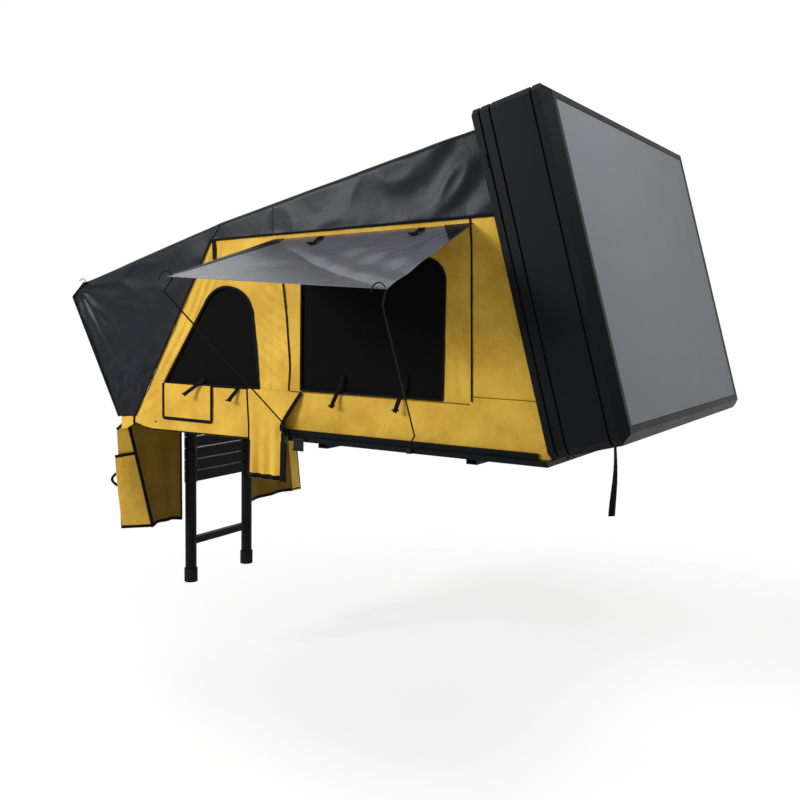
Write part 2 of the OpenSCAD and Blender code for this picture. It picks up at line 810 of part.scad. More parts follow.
// Awning sheet: hinged along the wall and sagging between its edges
module window_awning() {
    sag_mid = 26;
    edge_share = 0.35;
    color("#4a4c50") cloth(16, 12, [0, 0, awning_t], function(u, v) let(
        slope = awning_slope + awning_turn * u,
        run = awning_l * v,
        sag = sag_mid * sin(180 * v) * (edge_share + (1 - edge_share) * sin(180 * u)))
        [awning_x[0] + (awning_x[1] - awning_x[0]) * u, awning_y - run * cos(slope),
            awning_z[0] + (awning_z[1] - awning_z[0]) * u - run * sin(slope) - sag]);
}

// Outer corner of the awning at its entrance end (u = 0) or hinge end (u = 1)
function awning_corner(u) = let(slope = awning_slope + awning_turn * u)
    [awning_x[u], awning_y - awning_l * cos(slope), awning_z[u] - awning_l * sin(slope)];

module rod_sockets() {
    socket_w = 22;
    socket_d = 17;
    color(black) for (p = rod_foot) difference() {
        translate([p[0] - socket_w / 2, -half_w - socket_d, rail_h]) cube([socket_w, socket_d, beam_h]);
        translate(p) cylinder(h = 3 * beam_h, d = rod_d + 2 * pin_run, center = true);
    }
}

// Awning rod: up from its socket, over a knee, straight to a bend outside the awning's corner, and up to it
module awning_rod(k) {
    p = rod_foot[k];
    neck = p + [0, 0, 22];
    inset = k == 0 ? 12 : -12;
    knee = neck + [-2 * inset, 0, 42];
    tip = awning_corner(k) + [inset, 14, -rod_d / 2 - 1.5];
    bend = tip + [-inset, -38, -52];
    knee_d = rod_d + 0.6;
    color(black) union() {
        bar([p[0], p[1], rail_h + 2], neck, rod_d);
        translate(neck) sphere(d = knee_d);
        bar(neck, knee, rod_d);
        translate(knee) sphere(d = knee_d);
        bar(knee, bend, rod_d);
        translate(bend) sphere(d = knee_d);
        bar(bend, tip, rod_d);
    }
}

module awning_rod_left() { awning_rod(0); }
module awning_rod_right() { awning_rod(1); }

// Pull strap that hangs from the rear of the tray
module pull_strap() {
    strap_w = 38;
    strap_l = 360;
    strap_y = -85;
    wave = 6;
    drift = 8;
    color(black) cloth(1, 14, [flap_t, 0, 0], function(u, v)
        [half_l - 25 + wave * sin(250 * v), strap_y + strap_w * u + drift * v, rail_h - gap - strap_l * v]);
}

// Ears under the fold-out floor and the pin that the ladder hangs from
module ladder_bracket() {
    top = floor_z - floor_t;
    ear_w = 44;
    color(black) for (s = [-1, 1]) let(y = ladder_y + s * (stile_gap / 2 - 70) - ear_t / 2) difference() {
        union() {
            translate([ladder_x - ear_w / 2, y, ladder_z]) cube([ear_w, ear_t, top - ladder_z]);
            y_bar(ladder_x, ladder_z, y, y + ear_t, ear_w);
        }
        y_bar(ladder_x, ladder_z, y - cut, y + ear_t + cut, ladder_pin_d);
    }
}

module ladder_pin() {
    reach = stile_gap / 2 - 40;
    color(alloy) y_bar(ladder_x, ladder_z, ladder_y - reach, ladder_y + reach, ladder_pin_d);
}

// Outer diameter and rung height of a ladder section, counted from the top
function section_d(k) = stile_d + stile_step * k;
function rung_z(k) = first_rung - rung_pitch * k;

// Two stile tubes with collars, and rungs by height and depth; the stiles of the section above run inside
module ladder_section(k, low, rungs) {
    z = rung_z(k);
    d = section_d(k);
    difference() {
        union() {
            for (s = [-1, 1]) translate([ladder_x, ladder_y + s * stile_gap / 2, 0]) {
                translate([0, 0, low]) cylinder(h = z - low, d = d);
                translate([0, 0, z - collar_h / 2]) cylinder(h = collar_h, d = collar_d);
            }
            for (r = rungs) translate([ladder_x - rung_w / 2, ladder_y - stile_gap / 2, r[0] - r[1] / 2])
                cube([rung_w, stile_gap, r[1]]);
        }
        for (s = [-1, 1]) translate([ladder_x, ladder_y + s * stile_gap / 2, low - cut])
            cylinder(h = z + collar_h - low + cut, d = d - 2 * tube_wall);
    }
}

// Bottom end of a section's tubes, just above the feet
function tube_low(k) = ladder_foot + foot_h + 8 + 6 * k;

module ladder_top() {
    ear_w = 32;
    color(black) union() {
        ladder_section(0, tube_low(0), [[first_rung, rung_h]]);
        for (s = [-1, 1]) let(y = ladder_y + s * (stile_gap / 2 - 56) - ear_t / 2) difference() {
            union() {
                translate([ladder_x - ear_w / 2, y, first_rung]) cube([ear_w, ear_t, ladder_z - first_rung]);
                y_bar(ladder_x, ladder_z, y, y + ear_t, ear_w);
            }
            y_bar(ladder_x, ladder_z, y - cut, y + ear_t + cut, ladder_pin_d + 2 * pin_run);
        }
    }
}

module ladder_section_2() { color(black) ladder_section(1, tube_low(1), [[rung_z(1), rung_h]]); }
module ladder_section_3() { color(black) ladder_section(2, tube_low(2), [[rung_z(2), rung_h]]); }
module ladder_section_4() { color(black) ladder_section(3, tube_low(3), [[rung_z(3), rung_h]]); }

module ladder_bottom() {
    low_rung = ladder_foot + 236;
    color(black) ladder_section(sections, ladder_foot + foot_sole,
        [[rung_z(sections), rung_h], [low_rung, low_rung_h]]);
}

module ladder_feet() {
    color("#1c1c1c") for (s = [-1, 1]) translate([ladder_x, ladder_y + s * stile_gap / 2, ladder_foot])
        difference() {
            cylinder(h = foot_h, d = foot_d);
            translate([0, 0, foot_sole]) cylinder(h = foot_h, d = section_d(sections) + 2 * pin_run);
        }
}

rail_entrance();
rail_hinge_end();
tray();
floor_board();
base_mattress();
lid_hinge_leaves();
lid_hinge_pins();
fold_brackets();
fold_pins();
strut_anchors();
latch_plates();
rod_sockets();
awning_rod_left();
awning_rod_right();
pull_strap();
wall_near();
wall_far();
window_net_near();
window_net_far();
roof_fly();
hinge_flap_near();
hinge_flap_far();
lid_frame();
lid_skin();
lid_seal();
lid_leaves();
lid_strut_anchors();
latch_keepers();
strut_tube_near();
strut_tube_far();
strut_rod_near();
strut_rod_far();
latch_near();
latch_far();
fold_floor();
fold_arms();
floor_mattress();
bow_brackets();
bow_pins();
ladder_bracket();
ladder_pin();
floor_wall_near();
floor_wall_far();
floor_net_near();
floor_net_far();
hood();
door_wall();
side_pocket();
skirt_near();
skirt_far();
roof_bow();
window_awning();
ladder_top();
ladder_section_2();
ladder_section_3();
ladder_section_4();
ladder_bottom();
ladder_feet();
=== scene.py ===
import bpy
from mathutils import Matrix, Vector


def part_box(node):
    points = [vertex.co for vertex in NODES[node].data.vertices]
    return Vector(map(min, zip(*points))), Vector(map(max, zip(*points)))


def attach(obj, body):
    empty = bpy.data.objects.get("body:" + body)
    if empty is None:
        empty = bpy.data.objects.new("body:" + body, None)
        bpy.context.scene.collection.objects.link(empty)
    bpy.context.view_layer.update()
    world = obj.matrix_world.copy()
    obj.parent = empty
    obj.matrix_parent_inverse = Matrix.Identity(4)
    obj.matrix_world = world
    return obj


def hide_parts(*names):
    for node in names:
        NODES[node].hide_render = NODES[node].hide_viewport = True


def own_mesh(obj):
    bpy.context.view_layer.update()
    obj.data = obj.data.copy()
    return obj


bl_info = {
    "name": "Fold-out roof tent",
    "version": (1, 0, 0),
    "blender": (4, 5, 0),
    "location": "View3D > Sidebar > Roof tent",
    "description": "Cloth, trim, fittings and finishes of a fold-out roof tent with a hard lid",
    "category": "Object",
}

import bmesh
import bpy
import numpy as np
from mathutils import Matrix

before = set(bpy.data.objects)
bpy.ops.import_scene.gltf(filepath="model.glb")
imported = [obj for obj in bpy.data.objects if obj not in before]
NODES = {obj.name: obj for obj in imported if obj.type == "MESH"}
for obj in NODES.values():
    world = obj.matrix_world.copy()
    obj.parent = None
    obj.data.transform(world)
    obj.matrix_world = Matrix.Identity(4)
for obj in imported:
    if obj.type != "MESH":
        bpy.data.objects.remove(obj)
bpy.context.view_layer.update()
METRE = 0.001
# Sides of the tent: the awning's side is near, the other far
SIDES = ((-1.0, "near"), (1.0, "far"))


# Sizes shared with the solids, in millimetres; points of the side view are (x, z)

WALL_OUT, WALL_IN, FLY_OUT = 924.5, 920.5, 928.8
FLOOR_Z, FLOOR_END = 43.0, -1690.0
# Where the base's cloth ends, and how far the floor's laps behind it
SPLIT_X, LAP = -695.0, 8.0
HINGE, LID_TURN = (733.0, 45.0), np.radians(74.4)
RIDGE, FLY_DROP = np.array([-1021.3, 1041.1]), 85.0
DOOR_FOOT, DOOR_HEAD = np.array([-1595.0, 63.0]), np.array([-1073.3, 956.1])
HOOD_TIP, HOOD_FOOT = np.array([-1965.0, 757.0]), np.array([-1718.0, 49.0])
HOOD_LIP = HOOD_TIP - [93.0, 84.0]
AWNING_X, AWNING_Z = (-681.0, 347.0), (949.6, 995.5)
AWNING_L, AWNING_SLOPE, AWNING_TWIST = 725.0, 15.6, 7.5
SILL_Z = 257.0
SKIRT_X, SKIRT_TOP, SKIRT_LOW = -1692.2, 37.0, -583.0
# The walls end this far below the roof, behind the fly
WALL_TOP = 34.0
# Level direction towards the left of the view from the camera, along which the wire hooks lie
LEFT_WAY = np.array([-0.79, -0.61, 0.0])
UP = np.array([0.0, 0.0, 1.0])


def node_box(name):
    """Lowest and highest corner of a solid, in millimetres."""
    low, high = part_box(name)
    return np.array(low) / METRE, np.array(high) / METRE


def lid_point(u, w):
    """Point (x, z) of the open lid, u from its hinge end and w above its rim."""
    dx, c, s = 725.0 - u - HINGE[0], np.cos(LID_TURN), np.sin(LID_TURN)
    return np.array([HINGE[0] + dx * c + w * s, HINGE[1] - dx * s + w * c])


ROOF_LID, FLY_LID = lid_point(1385.0, 14.0), lid_point(1008.0, 0.0)
# The fly's hem rises up to this place, just before the lid
FLY_LAST = FLY_LID[0] - 12.0


def smooth(t):
    """Smooth step: 0 up to t = 0, 1 from t = 1, and 3 t^2 - 2 t^3 between."""
    t = np.clip(t, 0.0, 1.0)
    return t * t * (3.0 - 2.0 * t)


def on_line(t, start, end):
    """Second coordinate of the line from start to end where its first is t."""
    return start[1] + (t - start[0]) * (end[1] - start[1]) / (end[0] - start[0])


def roof_z(x):
    """Height of the roof line between the ridge and the lid."""
    return on_line(x, RIDGE, ROOF_LID)


def fly_z(x):
    """Height of the fly's lower hem between the ridge and the lid."""
    return on_line(x, RIDGE - [0.0, FLY_DROP], FLY_LID)


def seam_x(z):
    """Place of the leaning seam between the walls and the hood at a height."""
    return on_line(z, DOOR_FOOT[::-1], DOOR_HEAD[::-1])


def awning_point(u, v):
    """Awning's plane: u along the wall, v outwards, with a slope that grows along the wall."""
    slope = np.radians(AWNING_SLOPE + AWNING_TWIST * u)
    run = AWNING_L * v
    x = AWNING_X[0] + (AWNING_X[1] - AWNING_X[0]) * u
    y = -WALL_OUT - 1.8 - run * np.cos(slope)
    z = AWNING_Z[0] + 1.5 + (AWNING_Z[1] - AWNING_Z[0]) * u - run * np.sin(slope)
    return x, y, z


# Colours and materials

def linear(code):
    """Linear colour of an sRGB hex value."""
    c = np.array([int(code[i:i + 2], 16) for i in (1, 3, 5)]) / 255.0
    return tuple(np.where(c <= 0.04045, c / 12.92, ((c + 0.055) / 1.055) ** 2.4))


def add_node(tree, kind, settings=None, links=None):
    """Adds a node, sets its sockets or properties by name or index, and links its inputs."""
    node = tree.nodes.new(kind)
    for key, value in (settings or {}).items():
        if isinstance(key, int) or key in node.inputs:
            node.inputs[key].default_value = value
        else:
            setattr(node, key, value)
    for key, source in (links or {}).items():
        tree.links.new(source, node.inputs[key])
    return node


class Look:
    """A material with a Principled shader, and the patterns that feed it."""

    def __init__(self, name, settings):
        self.material = bpy.data.materials.new(name)
        self.material.use_nodes = True
        self.tree = self.material.node_tree
        self.shader = self.tree.nodes["Principled BSDF"]
        for key, value in settings.items():
            self.shader.inputs[key].default_value = value
        spots = self.node("ShaderNodeTexCoord").outputs
        self.place, self.uv = spots["Object"], spots["UV"]

    def node(self, kind, settings=None, links=None):
        return add_node(self.tree, kind, settings, links)

    def math(self, operation, a, b):
        return self.node("ShaderNodeMath", {"operation": operation}, {0: a, 1: b}).outputs[0]

    def feed(self, socket, output):
        self.tree.links.new(output, self.shader.inputs[socket])

    def tones(self, low, high, share):
        """Mixes two colours by a share into the base colour."""
        mix = self.node("ShaderNodeMix", {"data_type": "RGBA", 6: (*low, 1.0), 7: (*high, 1.0)}, {0: share})
        self.feed("Base Color", mix.outputs[2])

    def rough(self, share, low, high):
        """Roughness between two values by a share."""
        spread = self.node("ShaderNodeMapRange", {"To Min": low, "To Max": high}, {"Value": share})
        self.feed("Roughness", spread.outputs["Result"])

    def bump(self, height, strength, depth_mm, under=None):
        """Bump of a pattern, on top of a coarser one if that is given."""
        links = {"Height": height, "Normal": under} if under else {"Height": height}
        bump = self.node("ShaderNodeBump", {"Strength": strength, "Distance": depth_mm * METRE}, links)
        self.feed("Normal", bump.outputs["Normal"])
        return bump.outputs["Normal"]

    def noise(self, width_mm, detail, drawn_out=1.0, **settings):
        """Noise with features of about one width, drawn out along y by a scale under 1."""
        place = self.place
        if drawn_out < 1.0:
            scale = {"Scale": (1.0, drawn_out, 1.0)}
            place = self.node("ShaderNodeMapping", scale, {"Vector": place}).outputs[0]
        settings = {"Scale": 1.0 / (width_mm * METRE), "Detail": detail, **settings}
        return self.node("ShaderNodeTexNoise", settings, {"Vector": place}).outputs["Fac"]

    def bands(self, way, apart_mm, waver, place):
        """Bands across a direction, a given distance apart."""
        settings = {"bands_direction": way, "Scale": np.pi / (apart_mm * METRE) / 20.0, "Distortion": waver}
        return self.node("ShaderNodeTexWave", settings, {"Vector": place}).outputs["Fac"]

    def threads(self, operation, thread_mm, waver):
        """Two sets of bands across each other in the piece's own UV map, which is in metres."""
        return self.math(operation, *(self.bands(way, thread_mm, waver, self.uv) for way in ("X", "Y")))


FINISHES = {}


def finish(name):
    """Material of a finish, made once."""
    if name not in FINISHES:
        FINISHES[name] = MAKERS[name](bpy.context.scene.tent_colours)
    return FINISHES[name]


def woven(name, colours, thread_mm, crease_mm, settings, bump=0.25, crease=0.5):
    """Coated plain-weave cloth: threads across each other, blotches of handled cloth 190 mm wide, and soft
    creases. The thread is drawn wider than the real half millimetre, so that it shows in a close view."""
    look = Look(name, settings)
    weave = look.threads("MULTIPLY", thread_mm, 0.3)
    blotch = look.noise(190.0, 4.0, Roughness=0.55)
    shade = look.node("ShaderNodeMath", {"operation": "MULTIPLY_ADD", 1: 0.22}, {0: weave, 2: blotch})
    share = look.node("ShaderNodeMapRange", {"From Min": 0.36, "From Max": 0.82}, {"Value": shade.outputs[0]})
    look.tones(colours[1], colours[0], share.outputs["Result"])
    soft = look.bump(look.noise(crease_mm, 3.0, Distortion=0.8), crease, 5.0)
    look.bump(weave, bump, 0.4, soft)
    return look.material


def yellow_canvas(colours):
    """Polycotton canvas, dyed yellow: a dull open weave that takes soft creases."""
    dull = {"Roughness": 0.8, "Sheen Weight": 0.12, "Sheen Roughness": 0.4, "Specular IOR Level": 0.25}
    pair = (colours.canvas, colours.canvas_deep)
    return woven("polycotton_canvas_yellow", pair, 2.2, 60.0, dull, 0.25, 1.0)


def shaded_canvas(colours):
    """The same canvas seen from its uncoated back, as on the skirts: browner and duller, and darkened with
    painted shade, since the skirts hang in shade under the floor.
    """
    dull = {"Roughness": 0.88, "Sheen Weight": 0.05, "Sheen Roughness": 0.4, "Specular IOR Level": 0.15}
    return woven("polycotton_canvas_back_in_shade", (colours.canvas_back_in_shade, colours.canvas_back_in_shade_deep), 2.2, 90.0, dull)


def black_oxford(colours):
    """Coated Oxford polyester: a tight weave with a soft sheen and hard creases from packing."""
    satin = {"Roughness": 0.36, "Specular IOR Level": 0.1}
    return woven("oxford_polyester_black", (colours.fly, colours.fly_deep), 1.8, 150.0, satin, 0.1, 0.5)


def grey_oxford(colours):
    """The awning's Oxford polyester, coated grey: it catches the light along its creases."""
    satin = {"Roughness": 0.27, "Specular IOR Level": 0.5}
    return woven("oxford_polyester_grey", (colours.awning, colours.awning_deep), 1.8, 110.0, satin, 0.2, 0.45)


def mattress_cover(colours):
    """Knitted polyester mattress cover over foam."""
    dull = {"Roughness": 0.85, "Sheen Weight": 0.35, "Sheen Roughness": 0.4, "Specular IOR Level": 0.3}
    return woven("knit_cover_grey", (colours.mattress, colours.mattress_deep), 3.0, 160.0, dull, 0.6, 0.3)


def window_mesh(colours):
    """Insect mesh in black polyester; its holes are drawn at 4 mm, wider than the real ones, to show."""
    look = Look("insect_mesh_black", {"Roughness": 0.9, "Specular IOR Level": 0.06})
    net = look.threads("MAXIMUM", 4.0, 0.0)
    look.tones(linear("#050505"), colours.mesh, net)
    look.bump(net, 0.4, 0.6)
    return look.material


def webbing(colours):
    """Black polypropylene webbing and binding tape: slanting ribs, 3 mm apart."""
    look = Look("polypropylene_webbing_black", {"Roughness": 0.75, "Specular IOR Level": 0.06})
    look.tones(linear("#0a0a0b"), colours.binding, look.noise(40.0, 3.0))
    look.bump(look.bands("DIAGONAL", 3.0, 1.0, look.place), 0.3, 0.5)
    return look.material


def coated(name, colour, worn, roughness, specular, grit_mm, strength):
    """Powder coat or moulded plastic: a fine orange peel and slightly worn, rubbed patches 120 mm wide."""
    look = Look(name, {"Specular IOR Level": specular})
    rub = look.noise(120.0, 5.0, Roughness=0.6)
    look.tones(colour, worn, rub)
    look.rough(rub, roughness - 0.07, roughness + 0.09)
    look.bump(look.noise(grit_mm, 2.0), strength, 0.3)
    return look.material


def black_powder_coat(colours):
    """Aluminium extrusion, powder coated satin black."""
    return coated("powder_coated_aluminium_black", colours.shell, colours.shell_worn, 0.45, 0.07, 1.6, 0.2)


def lid_panel_coat(colours):
    """Aluminium composite sheet with a grey satin coil coating."""
    return coated("coil_coated_composite_grey", colours.panel, colours.panel_worn, 0.5, 0.2, 2.0, 0.1)


def black_steel(colours):
    """Steel, powder coated black."""
    return coated("powder_coated_steel_black", colours.steel, colours.shell_worn, 0.48, 0.07, 1.4, 0.25)


def black_rubber(colours):
    """Moulded rubber."""
    return coated("moulded_rubber_black", linear("#0c0c0d"), linear("#121213"), 0.72, 0.1, 1.2, 0.35)


def black_plastic(colours):
    """Glass-filled nylon, moulded, with a fine grain."""
    return coated("moulded_nylon_black", linear("#0d0d0e"), linear("#141415"), 0.5, 0.12, 0.9, 0.4)


def bare_aluminium(colours):
    """Mill-finish aluminium with drawing lines along the extrusion, 2.5 mm apart."""
    look = Look("mill_finish_aluminium", {"Metallic": 1.0})
    lines = look.noise(2.5, 2.0, 0.02)
    look.tones(linear("#9a9da1"), linear("#b6b9bc"), lines)
    look.rough(lines, 0.3, 0.5)
    return look.material


def bright_steel(colours):
    """Zinc-plated and ground steel pins, eyelets and strut rods, with clouds 17 mm wide."""
    look = Look("zinc_plated_steel", {"Metallic": 1.0})
    cloud = look.noise(50.0 / 3.0, 4.0)
    look.tones(linear("#a7aaad"), linear("#c6c8ca"), cloud)
    look.rough(cloud, 0.18, 0.34)
    return look.material


def deck_plywood(colours):
    """Birch plywood deck with a clear coat: long grain with darker growth lines, about 9 mm apart."""
    look = Look("birch_plywood", {"Roughness": 0.5})
    grain = look.noise(9.0, 5.0, 0.06, Distortion=0.6)
    look.tones(linear("#a98a5d"), linear("#cdb487"), grain)
    look.bump(grain, 0.15, 0.4)
    return look.material


MAKERS = {
    "canvas": yellow_canvas, "canvas_back_in_shade": shaded_canvas, "fly": black_oxford, "awning": grey_oxford,
    "mattress": mattress_cover, "mesh": window_mesh, "webbing": webbing, "shell": black_powder_coat,
    "panel": lid_panel_coat, "steel": black_steel, "rubber": black_rubber, "plastic": black_plastic,
    "aluminium": bare_aluminium, "zinc": bright_steel, "plywood": deck_plywood,
}


# Surface helpers; points are in millimetres

def unit_grid(rows, columns):
    """Grids of shares u and v, from 0 to 1."""
    return np.meshgrid(np.linspace(0.0, 1.0, rows), np.linspace(0.0, 1.0, columns), indexing="ij")


def run_lengths(grid, axis):
    """Lengths of a grid's steps along an axis."""
    return np.linalg.norm(np.diff(grid, axis=axis), axis=2)


def arc_uv(grid):
    """UV of a grid in metres: the length run along each of its two directions, averaged over the other."""
    means = (run_lengths(grid, axis).mean(axis=1 - axis) for axis in (0, 1))
    runs = [np.concatenate([[0.0], np.cumsum(mean)]) for mean in means]
    return np.stack(np.meshgrid(*runs, indexing="ij"), axis=-1) * METRE


def patch(grid, closed_u=False, closed_v=False, caps=False, uv=None):
    """Quads over a grid of points, with optional wrap in each direction and flat end caps."""
    n, m = grid.shape[:2]
    index = np.arange(n * m).reshape(n, m)
    wrap = np.vstack([index, index[:1]]) if closed_u else index
    wrap = np.hstack([wrap, wrap[:, :1]]) if closed_v else wrap
    quads = np.stack([wrap[:-1, :-1], wrap[1:, :-1], wrap[1:, 1:], wrap[:-1, 1:]], axis=-1).reshape(-1, 4)
    ends = [index[0][::-1], index[-1]] if caps else []
    uv = arc_uv(grid) if uv is None else uv
    return grid.reshape(-1, 3), quads, ends, uv.reshape(-1, 2)


def make_piece(name, patches, material, thickness=0.0, closed=False):
    """Joins patches into one object at the origin; a sheet gets a Solidify, a closed form outward faces."""
    starts = np.cumsum([0] + [len(p[0]) for p in patches[:-1]])
    points = np.concatenate([p[0] for p in patches]) * METRE
    uv = np.concatenate([p[3] for p in patches])
    faces = np.concatenate([p[1] + start for p, start in zip(patches, starts)]).tolist()
    faces += [(end + start).tolist() for p, start in zip(patches, starts) for end in p[2]]
    mesh = bpy.data.meshes.new(name)
    mesh.from_pydata(points.tolist(), [], faces)
    layer = mesh.uv_layers.new(name="cut")
    loops = np.empty(len(mesh.loops), dtype=np.int32)
    mesh.loops.foreach_get("vertex_index", loops)
    layer.data.foreach_set("uv", uv[loops].astype(np.float32).ravel())
    if closed:
        work = bmesh.new()
        work.from_mesh(mesh)
        bmesh.ops.recalc_face_normals(work, faces=work.faces)
        work.to_mesh(mesh)
        work.free()
    mesh.polygons.foreach_set("use_smooth", np.ones(len(mesh.polygons), dtype=bool))
    mesh.materials.append(finish(material))
    mesh.update()
    piece = bpy.data.objects.new(name, mesh)
    bpy.context.scene.collection.objects.link(piece)
    if thickness:
        wall = piece.modifiers.new("cloth", "SOLIDIFY")
        wall.thickness, wall.offset = thickness * METRE, 0.0
    return piece


# Fold of the canopy's cloth on each body
FOLD_OF = {"base": "lid", "floor": "floor"}


def hold(piece, body, nodes=(), squash=None):
    """Rides a piece on a body and hides the solids it replaces; a piece that is given a fold gets its own
    copy of its mesh.
    """
    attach(piece, body)
    if nodes:
        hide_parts(*nodes)
    if squash:
        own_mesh(piece)
    return piece


def trim(name, strips, body, squash=None, material="webbing", slot="webbing"):
    """Closed piece of tapes, cords or wires."""
    return hold(make_piece(name, strips, material, closed=True), body, squash=squash)


def cloth(name, grid, material, thickness, body, squash, nodes=()):
    """Sheet over a grid, held on a body in place of the solids it replaces."""
    piece = hold(make_piece(name, [patch(grid)], material, thickness), body, nodes, squash)


# Thickness of canvas and Oxford cloth, of the heavier flaps and skirts, of nets and of doubled edges
CLOTH_T, HEAVY_T, NET_T, DOUBLED_T = 1.2, 1.4, 0.8, 1.0
# Stretched cloth: material, slot and thickness
CANVAS, NET = ("canvas", "yellow_canvas", CLOTH_T), ("mesh", "window_mesh", NET_T)


def stretched(name, kind, plan, grid, body, nodes=()):
    """Flat sheet over a ring of rays, whose plan is its UV."""
    material, slot, thickness = kind
    piece = make_piece(name, [patch(grid, closed_u=True, uv=plan * METRE)], material, thickness)
    hold(piece, body, nodes, FOLD_OF[body])


def ripples(x, z, seed, depth, length, count=7):
    """Soft creases: a few plane waves of random heading and phase, about one length apart."""
    rng = np.random.default_rng(seed)
    angle = rng.uniform(0.0, np.pi, count)
    wave = 2.0 * np.pi / (length * rng.uniform(0.6, 1.7, count))
    phase = rng.uniform(0.0, 2.0 * np.pi, count)
    arg = (x[..., None] * np.cos(angle) + z[..., None] * np.sin(angle)) * wave + phase
    return depth * np.sin(arg).sum(axis=-1) / np.sqrt(count)


def rim_points(count):
    """Points round a unit circle."""
    t = np.linspace(0.0, 2.0 * np.pi, count, endpoint=False)
    return np.column_stack([np.cos(t), np.sin(t)])


def carry(path, normal, profile):
    """A closed profile of (across, out) offsets carried along a path; out lies along the given normal."""
    path = np.asarray(path, dtype=float)
    along = np.gradient(path, axis=0)
    along /= np.linalg.norm(along, axis=1, keepdims=True)
    out = np.broadcast_to(np.asarray(normal, dtype=float), path.shape)
    out = out - (out * along).sum(axis=1, keepdims=True) * along
    out /= np.linalg.norm(out, axis=1, keepdims=True)
    across = np.cross(along, out)
    grid = path[:, None] + profile[None, :, :1] * across[:, None] + profile[None, :, 1:] * out[:, None]
    return patch(grid, closed_v=True, caps=True)


def tape(path, normal, width, height=2.4):
    """Closed tape along a path: a flattened oval, a superellipse of twelve points."""
    rim = rim_points(12)
    return carry(path, normal, np.sign(rim) * np.abs(rim) ** 0.5 * [width / 2.0, height / 2.0])


def cord(path, diameter, normal=(0.0, 1.0, 0.0)):
    """Closed round cord or wire along a path."""
    return carry(path, normal, rim_points(10) * diameter / 2.0)


def through(points, step):
    """Straight runs between points, sampled about every step."""
    points = np.asarray(points, dtype=float)
    run = np.linalg.norm(np.diff(points, axis=0), axis=1)
    total = np.concatenate([[0.0], np.cumsum(run)])
    t = np.linspace(0.0, total[-1], max(3, int(total[-1] / step) + 1))
    return np.column_stack([np.interp(t, total, points[:, k]) for k in range(points.shape[1])])


def curve(points, count):
    """Smooth curve through points: a chain of cubic (Catmull-Rom) spans."""
    p = np.asarray(points, dtype=float)
    p = np.vstack([2 * p[0] - p[1], p, 2 * p[-1] - p[-2]])
    t = np.linspace(0.0, len(p) - 3 - 1e-9, count)
    k, f = t.astype(int), (t % 1.0)[:, None]
    a, b, c, d = p[k], p[k + 1], p[k + 2], p[k + 3]
    square, cube = 2 * a - 5 * b + 4 * c - d, 3 * b - a - 3 * c + d
    return 0.5 * (2 * b + (c - a) * f + square * f ** 2 + cube * f ** 3)


def ring(outline):
    """Outline with its first point again at its end."""
    return np.vstack([outline, outline[:1]])


# Outlines of the side walls and their openings, in the side view (x, z)

def corner_arc(centre, r, start):
    """Quarter circle of an opening's corner, from a start angle in degrees."""
    t = np.radians(start + np.linspace(0.0, 90.0, 12))
    return np.column_stack([centre[0] + r * np.cos(t), centre[1] + r * np.sin(t)])


def arched(left, right, sill, head, r):
    """Outline of an opening, square at its sill and rounded at its upper corners."""
    return np.vstack([[[left, sill], [right, sill]], corner_arc((right - r, head - r), r, 0.0),
                      corner_arc((left + r, head - r), r, 90.0)])


BASE_WINDOW = arched(-527.0, 223.0, SILL_Z, 857.0, 100.0)
FLOOR_WINDOW = np.vstack([[[-1390.0, 243.0], [-773.0, 249.0]],
                          curve([[-812, 610], [-845, 672], [-900, 714], [-975, 730], [-1040, 717],
                                 [-1092, 680], [-1126, 632]], 36)])
BASE_WALL = np.array([[SPLIT_X, 44.0], [718.0, 44.0], lid_point(2, -4), lid_point(45, -4), lid_point(55, 14),
                      ROOF_LID - [0, WALL_TOP], [SPLIT_X, roof_z(SPLIT_X) - WALL_TOP]])
WALL_HEM = np.array([[-1600.0, 20.0], [-1540.0, 4.0], [-1481.0, -4.0], [-727.0, 3.0]])
FLOOR_WALL = np.vstack([[[SPLIT_X + LAP, 30.0], [SPLIT_X + LAP, roof_z(SPLIT_X) - WALL_TOP],
                         RIDGE - [0, WALL_TOP], DOOR_HEAD, DOOR_FOOT], WALL_HEM, [[-727.0, 30.0]]])
# Window of each side wall, the middle of the rays through it, and the wall's body
WINDOWS = {"wall": (BASE_WINDOW, np.array([-152.0, 540.0]), "base"),
           "floor_wall": (FLOOR_WINDOW, np.array([-985.0, 440.0]), "floor")}


def ray_reach(outline, centre, angle):
    """Distance from a centre to an outline along each angle."""
    a = outline - centre
    e = np.roll(a, -1, axis=0) - a
    d = np.column_stack([np.cos(angle), np.sin(angle)])
    cross = d[:, None, 0] * e[None, :, 1] - d[:, None, 1] * e[None, :, 0]
    cross = np.where(np.abs(cross) < 1e-12, 1e-12, cross)
    t = (a[:, 0] * e[:, 1] - a[:, 1] * e[:, 0])[None] / cross
    s = (a[None, :, 0] * d[:, None, 1] - a[None, :, 1] * d[:, None, 0]) / cross
    hit = (s > -1e-6) & (s < 1 + 1e-6) & (t > 0)
    return np.where(hit, t, np.inf).min(axis=1)


def on_rays(centre, angle, reach):
    """Points at each reach along each ray from a centre."""
    return np.stack([centre[0] + reach * np.cos(angle)[:, None],
                     centre[1] + reach * np.sin(angle)[:, None]], axis=-1)


def around(outline, window, centre, rows, turns=760):
    """Ring of cloth between a window and the wall's edge: straight rays from a centre inside the window."""
    corners = np.vstack([outline, window]) - centre
    angle = np.unique(np.round(np.concatenate([np.linspace(-np.pi, np.pi, turns, endpoint=False),
                                               np.arctan2(corners[:, 1], corners[:, 0])]), 7))
    inner, outer = ray_reach(window, centre, angle), ray_reach(outline, centre, angle)
    share = np.linspace(0.0, 1.0, rows)
    return on_rays(centre, angle, inner[:, None] + (outer - inner)[:, None] * share[None])


